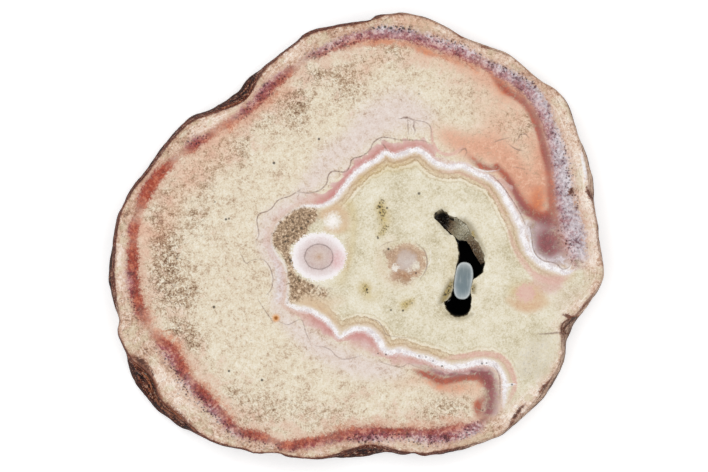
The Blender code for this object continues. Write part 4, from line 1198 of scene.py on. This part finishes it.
def build_bands():
    """The node group that gives the colour of the sawn stone anywhere in the slice."""
    group = bpy.data.node_groups.new("agate_bands", "ShaderNodeTree")
    for name, kind in (("Colour", "Color"), ("Grain", "Float"), ("Pits", "Float")):
        group.interface.new_socket(name=name, in_out="OUTPUT", socket_type="NodeSocket" + kind)
    recipe = Recipe(group)
    fine = recipe.grain(0.34, 2.0, 0.6)
    bent = recipe.shifted(1.6, 1.3)
    curls = recipe.grain(0.62, 3.0, 0.65, bent)
    mass = recipe.grain(1.6, 6.0, 0.78, bent)
    outer, inner = quartz(recipe, fine, curls, mass)
    hide = skin(recipe, mass)
    border = recipe.reading("ring") + mass * 3.0 + curls * 1.2
    colour = recipe.blend(border.rise(-0.5, 0.6), hide, outer)
    colour = stains(recipe, colour, fine, curls, mass)
    colour = ring_coat(recipe, colour, fine, curls, mass)
    colour = lace(recipe, colour, fine, curls, inner, mass)
    # Tints of the quartz inside the lace.
    uneven = 1 + curls + fine * 0.6 + mass * 1.5
    for name, strength, paint in (
        ("golden", 0.75, (203, 177, 106)),
        ("rosy", 0.75, (214, 168, 159)),
        ("tan_halo", 0.75, (216, 182, 146)),
        ("dust", 0.8, (130, 116, 82)),
        ("ashen", 0.55, (214, 204, 190)),
    ):
        mask = (recipe.reading(name) * uneven).rise(0.02, 0.98) * recipe.reading("lace").rise(0.4, 1.4)
        colour = recipe.blend(mask * strength, colour, tint(*paint))
    ash = (curls + fine + mass * 0.8).rise(0.0, 0.26) * recipe.reading("ashen")
    colour = recipe.blend(ash * 0.9, colour, tint(156, 142, 122))
    returned = (recipe.reading("skin_return") * (1 + mass * 2)).rise(0.1, 0.95)
    colour = recipe.blend(returned, colour, hide)
    # Brown grit beside the great eye.
    grains = recipe.cells(0.55, recipe.shifted(0.5, 0.4))
    gritty = (recipe.reading("grit") + mass + curls * 0.9).rise(0.15, 0.7)
    sand = recipe.ramp(
        grains * 0.5 + curls * 1.7 + mass * 1.5 + fine * 1.2 + recipe.reading("grit") * 0.3 + 0.04,
        (0.1, 238, 218, 194), (0.4, 184, 154, 124), (0.7, 138, 108, 80), (1.0, 50, 34, 20),
    )
    colour = recipe.blend(gritty * 0.94, colour, sand)
    colour = eyes(recipe, colour, fine, curls, mass)
    colour = hairlines(recipe, colour, curls)
    # Rust with a dark core, then soot with pepper about it.
    rust = (recipe.reading("rust") + curls * 1.6 + mass).rise(0.25, 0.8)
    rusty = recipe.blend((fine + mass).rise(-0.2, 0.25), tint(160, 98, 66), tint(80, 36, 24))
    colour = recipe.blend(rust * 0.9, colour, rusty)
    core = (recipe.reading("rust") + mass + curls).rise(0.55, 0.95)
    colour = recipe.blend(core * 0.8, colour, tint(56, 20, 14))
    soot = recipe.reading("soot")
    colour = recipe.blend((soot + curls + mass).rise(0.12, 0.7) * 0.6, colour, tint(168, 144, 74))
    peppered = (grains - curls * 1.5).rise(0.44, 0.2) * (soot + mass).rise(0.15, 0.55)
    colour = recipe.blend(peppered * 0.85, colour, tint(52, 42, 24))
    colour = recipe.blend((soot + curls * 1.8).rise(0.76, 1.0) * 0.92, colour, tint(40, 30, 20))
    # The brown seam along the rind, where the rind isn't worn through.
    edge = recipe.reading("from_edge")
    bare = 1 - recipe.reading("worn_rind") * 0.75
    weathered = (edge + mass * 3.0).rise(0.9, 0.0) * bare
    colour = recipe.blend(weathered * 0.6, colour, tint(164, 104, 78))
    colour = recipe.blend((edge + mass).rise(0.34, 0.08) * bare * 0.85, colour, tint(84, 38, 28))
    colour = recipe.blend(1.0, colour, fine * 0.3 + curls * 0.12 + mass * 0.3 + 0.5, "OVERLAY")
    specks = speck_mask(recipe)
    colour = recipe.blend(specks, colour, tint(44, 32, 20))
    pits = specks.most(peppered * 0.5).most(rust * 0.5)
    results = {"Colour": colour, "Grain": curls + 0.5, "Pits": pits}
    end = group.nodes.new("NodeGroupOutput")
    for name, value in results.items():
        group.links.new(socket_of(value), end.inputs[name])
    return group


agate_bands = build_bands()


def new_material(name):
    """A new material, its recipe and its shader."""
    material = bpy.data.materials.new(name)
    material.use_nodes = True
    tree = material.node_tree
    return material, Recipe(tree), tree.nodes["Principled BSDF"]


def banded_material(name):
    """A new material, its recipe, its shader and the node of the bands placed in it."""
    material, recipe, shader = new_material(name)
    bands = recipe.tree.nodes.new("ShaderNodeGroup")
    bands.node_tree = agate_bands
    return material, recipe, shader, bands


def finish_shader(recipe, shader, colour, roughness, height, depth):
    """Sends the colour, the roughness and the relief, as a bump depth metres deep, to the shader."""
    for value, name in ((colour, "Base Color"), (roughness, "Roughness")):
        recipe.tree.links.new(socket_of(value), shader.inputs[name])
    inputs = {"Height": height, "Strength": 1.0, "Distance": depth}
    recipe.tree.links.new(recipe.step("ShaderNodeBump", inputs), shader.inputs["Normal"])


QUARTZ_IOR = 1.54


def polished_face():
    """Ground and polished: a soft shine, with pits and grain borders that took less polish."""
    material, recipe, shader, bands = banded_material("polished_agate")
    pits = Level(recipe, bands.outputs["Pits"])
    grain = Level(recipe, bands.outputs["Grain"])
    smear = recipe.grain(5.0, 2.0)
    roughness = 0.27 + grain * 0.08 + smear * 0.1 + pits * 0.4
    relief = grain * 0.15 - pits
    finish_shader(recipe, shader, bands.outputs["Colour"], roughness, relief, 0.00006)
    shader.inputs["IOR"].default_value = QUARTZ_IOR
    shader.inputs["Specular IOR Level"].default_value = 0.35
    return material


def sawn_back():
    """Left from the saw: the same bands, duller and dusty, with curved marks from the blade."""
    material, recipe, shader, bands = banded_material("sawn_agate")
    blade = recipe.distance_to(-265, -12)
    marks = recipe.calculate("SINE", (blade + recipe.grain(12.0) * 1.5) * 5.2)
    scratches = recipe.calculate("SINE", blade * 31.0) * 0.4
    dust = recipe.grain(0.5, 3.0, 0.7).rise(-0.2, 0.3)
    colour = recipe.blend(0.22 + dust * 0.2, bands.outputs["Colour"], tint(206, 194, 178))
    colour = recipe.blend(marks.rise(0.6, 1.0) * 0.12, colour, tint(240, 232, 220))
    relief = marks + scratches + dust * 0.8
    finish_shader(recipe, shader, colour, 0.62 + dust * 0.16, relief, 0.00008)
    return material


def rough_rind():
    """The nodule's weathered outside: dark brown crust in leaves that follow the edge, worn through
    to tan in places and darkest at its foot, with painted glints of light along its leaves."""
    material, recipe, shader = new_material("agate_rind")
    edge = recipe.reading("from_edge")
    height = recipe.coordinate("Z")
    inputs = {"X": recipe.reading("along_edge") * 0.16, "Y": edge * 1.2, "Z": height * 0.8}
    leaves = recipe.grain(0.8, 4.0, 0.65, recipe.step("ShaderNodeCombineXYZ", inputs))
    layers = recipe.grain(1.2, 4.0, 0.65, recipe.shifted(2.0, 2.0))
    lichen = recipe.grain(0.4, 3.0, 0.7)
    bark = recipe.ramp(
        leaves * 1.2 + layers * 1.4 + lichen * 1.8 + 0.5,
        (0.2, 8, 3, 2), (0.46, 44, 14, 8), (0.62, 104, 40, 22), (0.79, 148, 82, 50),
        (0.97, 212, 180, 156),
    )
    bark = recipe.blend((edge + layers * 2.0).rise(-1.2, 0.2) * 0.4, bark, tint(138, 64, 34))
    tan = recipe.ramp(
        leaves * 1.6 + layers + lichen * 0.8 + 0.5,
        (0.2, 112, 70, 52), (0.42, 188, 150, 126), (0.7, 226, 200, 178),
    )
    worn = recipe.reading("worn_rind") + layers * 1.4 + recipe.grain(5.0, 2.0) * 0.8
    colour = recipe.blend(worn.rise(0.12, 0.88), bark, tan)
    rust = (recipe.reading("rust") + layers * 2.2).rise(0.2, 0.85)
    flaky = recipe.blend((leaves * 2 + lichen).rise(-0.2, 0.3), tint(74, 28, 16), tint(176, 106, 68))
    colour = recipe.blend(rust * 0.8, colour, flaky)
    core = (recipe.reading("rust") + layers).rise(0.8, 1.0)
    colour = recipe.blend(core * 0.85, colour, tint(34, 12, 9))
    # Painted highlights: pale flecks along the leaves stand in for glints of light off the crust.
    painted_glints = leaves.size().rise(0.03, 0.0) * (lichen + layers).rise(0.04, 0.2)
    colour = recipe.blend(painted_glints * 0.9, colour, tint(236, 214, 192))
    foot = (height + layers * 2.0).rise(4.6, 2.6)
    colour = recipe.blend(foot * 0.75, colour, tint(70, 40, 30))
    relief = leaves * 1.6 + layers * 1.2 + lichen * 0.7
    finish_shader(recipe, shader, colour, 0.68 - lichen * 0.5, relief, 0.0005)
    shader.inputs["Specular IOR Level"].default_value = 0.14
    return material


def hollow_wall():
    """The wall of the hollow: the quartz tinted olive by films of iron and manganese near the mouth, and
    painted shade that turns it nearly black further down.
    """
    material, recipe, shader, bands = banded_material("hollow_wall")
    height = recipe.coordinate("Z")
    film = recipe.grain(0.6, 4.0, 0.7)
    stained = (height + film * 2.4).rise(8.0, 7.0)
    colour = recipe.blend(stained * 0.85, bands.outputs["Colour"], tint(132, 114, 78))
    # Painted shade: the wall turns nearly black further down the hollow.
    colour = recipe.blend((height + film * 2.6).rise(7.4, 5.8), colour, tint(16, 11, 8))
    finish_shader(recipe, shader, colour, 0.45 + film * 0.5, film, 0.0003)
    return material


# Where the rind is worn through to its tan underside, mostly on the right: soft strokes.
WORN_RIND = (
    ((640, 250, 60, 1), (600, 330, 40, 1), (560, 400, 44, 1), (500, 440, 34, .9)),
    ((600, 180, 40, 1), (560, 90, 50, .9), (480, 30, 40, .8), (410, 5, 26, .6)),
    ((115, 325, 12, .7), (340, 10, 24, .3)),
)


def dress_slice(piece, rows):
    """Gives each run of rows its material: 0 the face, 1 the rind, 2 the back and 3 the hollow's
    wall. The last row runs over the lip into the first and takes the face's again."""
    store(piece, "worn_rind", soft(rows[:, :, :2].reshape(-1, 2), WORN_RIND))
    for material in (polished_face(), rough_rind(), sawn_back(), hollow_wall()):
        piece.data.materials.append(material)
    face_end = FACE_ROWS
    rind_end = face_end + RIND_ROWS
    back_end = rind_end + BACK_ROWS - 1
    kind = np.full(len(rows), 3)
    kind[:back_end] = 2
    kind[:rind_end] = 1
    kind[: face_end - 1] = 0
    kind[-1] = 0
    piece.data.polygons.foreach_set("material_index", np.repeat(kind, rows.shape[1]))


dress_slice(agate_stone, stone_rows)
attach(agate_stone, "root")
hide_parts("agate_slice")


# ---- The chalcedony finger --------------------------------------------------------------------
# A finger of grey-blue chalcedony that grew across the hollow and was sawn with it. Its end is
# rubbed round. It is solid from near the back to just under the face, and wedged in the neck.

FINGER_CENTRE = (25.8, -10.75)
FINGER_HALF_LENGTH = 4.53
FINGER_HALF_WIDTH = 2.33
FINGER_LEAN = np.radians(6.0)  # its upper end leans towards +X
FINGER_TOP = 7.84
FINGER_CROWN = 0.1  # how much the middle of its top stands over the rest
FINGER_BOTTOM = 0.62
FINGER_SIDE = (1.4, 7.0)  # heights between which its side has its rows
FINGER_ROUNDING = 0.55
FINGER_POWER = 2.6
FINGER_COLUMNS = 120
# The painted highlight round the top's edge: where it is brightest and how soft it is.
RIM_HIGHLIGHT_HEIGHT = FINGER_TOP - 0.25  # where it is palest
RIM_HIGHLIGHT_BLUR = 0.22


def finger_rows():
    """A superelliptic pillar, |x/a|^p + |y/b|^p = 1, as rings from the middle of its underside out,
    up its side, over a quarter-round edge and in to the middle of its slightly crowned top."""
    angle = np.linspace(0, 2 * np.pi, FINGER_COLUMNS, endpoint=False)
    wide = np.sign(np.cos(angle)) * np.abs(np.cos(angle)) ** (2 / FINGER_POWER)
    long = np.sign(np.sin(angle)) * np.abs(np.sin(angle)) ** (2 / FINGER_POWER)
    turn = np.linspace(0, np.pi / 2, 9)
    profile = [(scale, 0.0, FINGER_BOTTOM) for scale in (0.002, 0.5)]
    rounding = zip(FINGER_ROUNDING * (1 - np.sin(turn)), FINGER_ROUNDING * (1 - np.cos(turn)))
    profile += [(1.0, inset, FINGER_BOTTOM + lift) for inset, lift in rounding]
    profile += [(1.0, 0.0, height) for height in np.linspace(*FINGER_SIDE, 16)]
    rounding = zip(FINGER_ROUNDING * (1 - np.cos(turn)), FINGER_ROUNDING * np.sin(turn))
    brow = FINGER_TOP - FINGER_CROWN
    edge = brow - FINGER_ROUNDING
    profile += [(1.0, inset, edge + lift) for inset, lift in rounding]
    profile += [
        (scale, FINGER_ROUNDING * scale, brow + FINGER_CROWN * (1 - scale**2))
        for scale in (0.93, 0.82, 0.66, 0.48, 0.3, 0.14, 0.002)
    ]
    rows = []
    for scale, inset, height in profile:
        rounding = inset if scale == 1 else FINGER_ROUNDING
        x = wide * (FINGER_HALF_WIDTH - rounding) * scale
        y = long * (FINGER_HALF_LENGTH - rounding) * scale
        flat_x = FINGER_CENTRE[0] + x * np.cos(FINGER_LEAN) + y * np.sin(FINGER_LEAN)
        flat_y = FINGER_CENTRE[1] + y * np.cos(FINGER_LEAN) - x * np.sin(FINGER_LEAN)
        rows.append(np.column_stack([flat_x, flat_y, np.full(FINGER_COLUMNS, height)]))
    return np.array(rows)


def chalcedony():
    """Grey-blue and faintly streaked along its length, paler at its upper end, with a painted highlight
    along its rim and painted shade that darkens it lower down in the hollow.
    """
    material, recipe, shader = new_material("grey_chalcedony")
    turned = recipe.step(
        "ShaderNodeMapping",
        {"Vector": recipe.place, "Rotation": (0.0, 0.0, float(FINGER_LEAN)), "Scale": (1.0, 0.14, 0.14)},
        vector_type="POINT",
    )
    streaks = recipe.grain(0.5, 3.0, 0.6, turned)
    cloud = recipe.grain(2.4, 2.0)
    upper = (recipe.coordinate("Y") - FINGER_CENTRE[1]) / 9.0  # about -0.5 to 0.5
    colour = recipe.ramp(
        upper + 0.5 + cloud * 0.3,
        (0.0, 128, 141, 145), (0.35, 116, 131, 137), (0.7, 122, 134, 137), (1.0, 150, 157, 157),
    )
    colour = recipe.blend(streaks.rise(0.04, 0.22) * 0.45, colour, tint(92, 112, 124))
    colour = recipe.blend(streaks.rise(-0.04, -0.22) * 0.45, colour, tint(168, 176, 178))
    # Painted highlight along the rim of the rounded top.
    rim = recipe.reading("rim") + cloud * 0.3
    colour = recipe.blend(rim.rise(0.35, 0.95) * 0.7, colour, tint(214, 219, 220))
    # Painted shade: the finger turns nearly black lower down, inside the hollow.
    height = recipe.coordinate("Z")
    colour = recipe.blend((height + cloud).rise(6.8, 4.6), colour, tint(34, 36, 36))
    finish_shader(recipe, shader, colour, 0.24 + cloud * 0.2, streaks, 0.00008)
    shader.inputs["IOR"].default_value = QUARTZ_IOR
    return material


rows = finger_rows()
chalcedony_finger = grid_piece("chalcedony_finger", rows)
# The rim reading: where the painted highlight lies, a band round the top's edge.
store(chalcedony_finger, "rim", np.exp(-(((rows[:, :, 2] - RIM_HIGHLIGHT_HEIGHT) / RIM_HIGHLIGHT_BLUR) ** 2)))
chalcedony_finger.data.materials.append(chalcedony())
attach(chalcedony_finger, "root")
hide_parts("agate_slice")


# ---- The druse --------------------------------------------------------------------------------
# A crust of quartz crystals under a millimetre long, grown on the floor and the walls of the
# hollow's blind arm: nearly black in the pocket, grey on the shoulder, brown on the far slope. The
# pocket's near black is partly the crystals' own smoky colour and partly painted shade.

# Along the arm: x and y at its outer wall, x and y at its inner wall or at the lip of the throat,
# all in steps of the grid, then the height there and the height on the floor between in mm, and
# the darkness of the crystals, which in the pocket is partly painted shade.
CRUST = (
    (434.6, 216.2, 434.9, 217.9, 7.3, 6.9, 1), (437.2, 212.2, 436, 219.2, 7.2, 5.8, 1),
    (441, 210.9, 439, 222.2, 7.2, 4.6, 1), (445, 212.8, 442.2, 225.6, 7.2, 3.9, 1),
    (449, 217, 446, 229, 7.2, 3.8, .95), (455, 219, 449.5, 232, 7.2, 4.3, .55),
    (461, 221.6, 454, 235.8, 6.8, 4.8, .3), (466, 225, 458.6, 239.8, 5.4, 5.4, .2),
    (469, 230.2, 463, 240.2, 4.6, 5.5, .3), (470.6, 236, 467.6, 241.6, 4.5, 5.6, .5),
    (474.6, 240.6, 469.8, 245, 4.4, 5.7, .7), (478.8, 246.2, 472, 249.5, 4.4, 5.7, .75),
    (482.2, 252, 474.4, 254, 4.4, 5.6, .7), (483.4, 258, 478, 259.5, 4.4, 5.5, .75),
    (483.4, 263, 481, 264.5, 4.6, 5.6, .85),
)
CRUST_ROWS = 40
CRUST_COLUMNS = 26
CRUST_LUMPS = 0.22
TUCKED_IN = 0.45
BED_DEPTH = 0.5
CRYSTALS = 560
CRYSTAL_RADIUS = (0.10, 0.30)
CRYSTAL_TOP = THICKNESS - 0.2  # no tip stands higher
FOOT, SHOULDER, TIP = -0.6, 0.9, 1.9  # heights on a crystal, in its radii
POINTS_EACH = 13  # two rings of six, and the tip
SIDEWAYS = (0.31, 0.95, 0.05)  # a direction in which no crystal points


def crust_surface(along, across):
    """The druse's surface at shares along the arm and across it: a straight line from the outer wall
    to the inner edge, bent down to the floor between by a hump, with lumps. It is tucked a little
    under the face's lip, and paler there, except in the pocket."""
    table = smooth_curve(on_slab(CRUST, places=2, lengths=0), count=400, closed=False)
    at = along * (len(table) - 1)
    x1, y1, x2, y2, lip, floor, dark = (
        np.interp(at, np.arange(len(table)), column) for column in table.T
    )
    straight = LIP_HEIGHT + (lip - LIP_HEIGHT) * across
    middle = (LIP_HEIGHT + lip) / 2
    hump = (4 * across * (1 - across)) ** 0.8
    height = straight + (floor - middle) * hump
    tucked = np.hypot(x2 - x1, y2 - y1)
    tucked = across - TUCKED_IN / tucked * (1 - across)
    flat = np.stack([x1 + (x2 - x1) * tucked, y1 + (y2 - y1) * tucked], -1)
    fading = 0.4 * np.exp(-across / 0.22) * np.clip((0.93 - dark) / 0.1, 0, 1)
    rough = CRUST_LUMPS * lumps(np.concatenate([flat, height[..., None]], -1), 0.8, 21)
    return np.concatenate([flat, (height + rough)[..., None]], -1), dark - fading


def crust_bed():
    """The druse's underlayer, a closed sheet: the surface and the same BED_DEPTH lower, joined round
    the rim. Its rows run round the sheet, out over the top and back underneath."""
    along, across = np.meshgrid(np.linspace(0, 1, CRUST_ROWS), np.linspace(0, 1, CRUST_COLUMNS))
    top, dark = crust_surface(along, across)
    under = top - (0, 0, BED_DEPTH)
    rows = np.concatenate([top, under[::-1]], 0)
    return rows, np.concatenate([dark, dark[::-1]], 0)


def crystal_points():
    """Six-sided quartz points, each a ring of six at its foot, a ring at its shoulder and a tip.
    Their feet lie on the crust at scattered places, and they lean unevenly from its normal."""
    chance = np.random.default_rng(5)
    along = chance.uniform(0.01, 0.99, CRYSTALS)
    across = chance.uniform(0.03, 0.97, CRYSTALS)
    foot, dark = crust_surface(along, across)
    ahead, _ = crust_surface(along + 0.01, across)
    aside, _ = crust_surface(along, across + 0.01)
    pointing = np.cross(aside - foot, ahead - foot)
    pointing *= np.sign(pointing[:, 2:])
    pointing /= np.linalg.norm(pointing, axis=1)[:, None]
    pointing += chance.normal(0, 0.32, pointing.shape) + (0, 0, 0.3)
    pointing /= np.linalg.norm(pointing, axis=1)[:, None]
    side = np.cross(pointing, SIDEWAYS)
    side /= np.linalg.norm(side, axis=1)[:, None]
    other = np.cross(pointing, side)
    radius = CRYSTAL_RADIUS[0] + np.diff(CRYSTAL_RADIUS)[0] * chance.random(CRYSTALS) ** 2
    turn = np.arange(6) * np.pi / 3 + chance.uniform(0, 1, (CRYSTALS, 1))
    circle = np.cos(turn)[..., None] * side[:, None] + np.sin(turn)[..., None] * other[:, None]
    circle = circle * radius[:, None, None]
    rise = pointing * radius[:, None]
    feet = foot[:, None] + circle + FOOT * rise[:, None]
    shoulders = foot[:, None] + 0.93 * circle + (SHOULDER * rise)[:, None]
    tips = (foot + TIP * rise)[:, None]
    points = np.concatenate([feet, shoulders, tips], 1)
    points[..., 2] = np.minimum(points[..., 2], CRYSTAL_TOP)
    k = np.arange(6)
    n = (k + 1) % 6
    sides = np.stack([k, n, n + 6, k + 6], -1)
    facets = np.stack([k + 6, n + 6, np.full(6, 12), np.full(6, 12)], -1)
    return points, sides, facets, np.repeat(dark[:, None], POINTS_EACH, 1)


def druse_piece():
    """The bed and the crystals in one mesh. Each point keeps its darkness, and each crystal has a
    number of its own, drawn by chance, that picks its painted sparkle and its darker tone."""
    rows, bed_dark = crust_bed()
    points, sides, facets, crystal_dark = crystal_points()
    height, width = rows.shape[:2]
    index = np.arange(height * width).reshape(height, width)
    far = np.roll(index, -1, 0)
    quads = np.stack([index[:, :-1], index[:, 1:], far[:, 1:], far[:, :-1]], -1).reshape(-1, 4)
    half = height // 2
    ends = []
    for column, order in ((0, 1), (width - 1, -1)):
        above, below = index[:half, column], index[::-1, column][:half]
        rim = np.stack([above[:-1], above[1:], below[1:], below[:-1]], -1)
        ends.append(rim[:, ::order])
    faces = [*quads.tolist(), *ends[0].tolist(), *ends[1].tolist()]
    first = height * width + POINTS_EACH * np.arange(CRYSTALS)[:, None, None]
    faces += (first + sides[None]).reshape(-1, 4).tolist()
    faces += (first + facets[None])[..., :3].reshape(-1, 3).tolist()
    faces += (first[..., 0] + np.arange(6)[::-1]).tolist()
    mesh = bpy.data.meshes.new("druse_crystals")
    everything = np.concatenate([rows.reshape(-1, 3), points.reshape(-1, 3)]) * MM
    mesh.from_pydata(everything.tolist(), [], faces)
    mesh.validate()
    piece = bpy.data.objects.new("druse_crystals", mesh)
    bpy.context.scene.collection.objects.link(piece)
    store(piece, "darkness", np.concatenate([bed_dark.ravel(), crystal_dark.ravel()]))
    # Each crystal's chance picks which crystals get a painted sparkle and which a darker tone.
    chance = np.random.default_rng(9).random((CRYSTALS, 1))
    sparkle = np.repeat(chance, POINTS_EACH, 1).ravel()
    sparkle = np.concatenate([np.full(bed_dark.size, 0.3), sparkle])
    store(piece, "glint_and_tone_chance", sparkle)
    return piece


def druse_quartz():
    """Small colourless to smoky crystals: glossy facets over dark iron and manganese films, darkest in
    the pocket partly by painted shade, with painted sparkles on some crystals.
    """
    material, recipe, shader = new_material("smoky_druse")
    film = recipe.grain(0.45, 3.0, 0.6)
    # Darkness: the crystals' own tone, and in the pocket partly painted shade.
    dark = recipe.reading("darkness") + film * 0.5
    colour = recipe.ramp(
        dark,
        (0.0, 214, 208, 188), (0.25, 176, 168, 143), (0.5, 158, 138, 110), (0.75, 112, 88, 64),
        (1.0, 20, 11, 7),
    )
    glint_and_tone = recipe.reading("glint_and_tone_chance")
    # Painted sparkle: the chosen crystals are painted pale, standing in for glints of light off their
    # facets.
    painted_sparkle = glint_and_tone.rise(0.55, 0.95) * (1.15 - dark)
    colour = recipe.blend(painted_sparkle * 0.55, colour, tint(206, 205, 190))
    colour = recipe.blend(glint_and_tone.rise(0.3, 0.05) * 0.4, colour, tint(60, 52, 40))
    finish_shader(recipe, shader, colour, 0.3 + film * 0.3, film, 0.00005)
    shader.inputs["IOR"].default_value = QUARTZ_IOR
    return material


druse_crystals = druse_piece()
druse_crystals.data.materials.append(druse_quartz())
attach(druse_crystals, "root")
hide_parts("druse_crust")


# ---- The sheet, the lamps and the camera ------------------------------------------------------
# The slice lies on a white light table, with a slip of black paper in the hole where the table
# would shine through. Large soft lamps at the sides keep their reflections out of the polish.

TABLE_SIZE = 3.0  # metres
SLIP_MARGIN = 1.03  # the slip's size in the throat's
SLIP_HEIGHT = 0.00005  # metres
LAMP_ELEVATION = 48


def flat_piece(name, points):
    """One flat face through the points, in metres."""
    mesh = bpy.data.meshes.new(name)
    mesh.from_pydata(points, [], [tuple(range(len(points)))])
    piece = bpy.data.objects.new(name, mesh)
    bpy.context.scene.collection.objects.link(piece)
    return piece


def matt_finish(piece, name, size, detail, deep, pale, roughness):
    """A matt material between two greys, clouded by noise whose features are size mm apart."""
    material, recipe, shader = new_material(name)
    cloud = recipe.grain(size, detail)
    colour = recipe.blend(cloud + 0.5, (deep, deep, deep, 1.0), (pale, pale, pale, 1.0))
    recipe.tree.links.new(colour, shader.inputs["Base Color"])
    shader.inputs["Roughness"].default_value = roughness
    piece.data.materials.append(material)
    return shader


def table_top():
    """Matt white glass, faintly clouded, that glows a little."""
    half = TABLE_SIZE / 2
    corners = [(-half, -half, 0.0), (half, -half, 0.0), (half, half, 0.0), (-half, half, 0.0)]
    piece = flat_piece("light_table", corners)
    shader = matt_finish(piece, "opal_glass", 60.0, 2.0, 0.9, 0.96, 0.7)
    shader.inputs["Emission Color"].default_value = (1.0, 1.0, 1.0, 1.0)
    shader.inputs["Emission Strength"].default_value = 0.35


def black_slip():
    """Black paper cut to the throat's outline, lying in it."""
    throat = on_slab(HOLLOW, places=2, lengths=0)[:, 2:4]
    outline = smooth_curve(throat, count=90, closed=True)
    middle = outline.mean(0)
    outline = middle + (outline - middle) * SLIP_MARGIN
    points = [(x * MM, y * MM, SLIP_HEIGHT) for x, y in outline.tolist()]
    piece = flat_piece("black_slip", points)
    shader = matt_finish(piece, "black_paper", 0.3, 3.0, 0.001, 0.004, 0.95)
    shader.inputs["Specular IOR Level"].default_value = 0.05


def soft_lamp(name, bearing, power, size=0.7, away=0.9):
    """A square soft box of this size and this far away, both in metres, aimed at the slice from a
    bearing in degrees."""
    light = bpy.data.lights.new(name, "AREA")
    light.energy = power
    light.size = size
    lamp = bpy.data.objects.new(name, light)
    bearing, elevation = np.radians([bearing, LAMP_ELEVATION])
    lamp.location = (
        away * np.cos(elevation) * np.cos(bearing),
        away * np.cos(elevation) * np.sin(bearing),
        away * np.sin(elevation),
    )
    lamp.rotation_euler = (np.pi / 2 - elevation, 0.0, bearing + np.pi / 2)
    bpy.context.scene.collection.objects.link(lamp)


table_top()
black_slip()
soft_lamp("lamp_upper_left", bearing=135, power=2.6)
soft_lamp("lamp_upper_right", bearing=40, power=2.0)
soft_lamp("lamp_lower_left", bearing=215, power=1.9)
soft_lamp("lamp_lower_right", bearing=-45, power=1.9)

room = bpy.data.worlds.new("studio")
room.use_nodes = True
room.node_tree.nodes["Background"].inputs["Color"].default_value = (1.0, 1.0, 1.0, 1.0)
room.node_tree.nodes["Background"].inputs["Strength"].default_value = 0.35
bpy.context.scene.world = room
bpy.context.scene.view_settings.view_transform = "Standard"

CAMERA_HEIGHT = 2.4  # metres above the face
CAMERA_PLACE = (-0.0006, 0.00005)  # metres from the slab's middle
FRAME_WIDTH = 0.1709  # metres of the face's level that the picture takes in
SENSOR_WIDTH = 36.0

camera = bpy.data.objects.new("camera", bpy.data.cameras.new("camera"))
camera.location = (*CAMERA_PLACE, THICKNESS * MM + CAMERA_HEIGHT)
camera.data.sensor_width = SENSOR_WIDTH
camera.data.lens = SENSOR_WIDTH * CAMERA_HEIGHT / FRAME_WIDTH
bpy.context.scene.collection.objects.link(camera)
bpy.context.scene.camera = camera
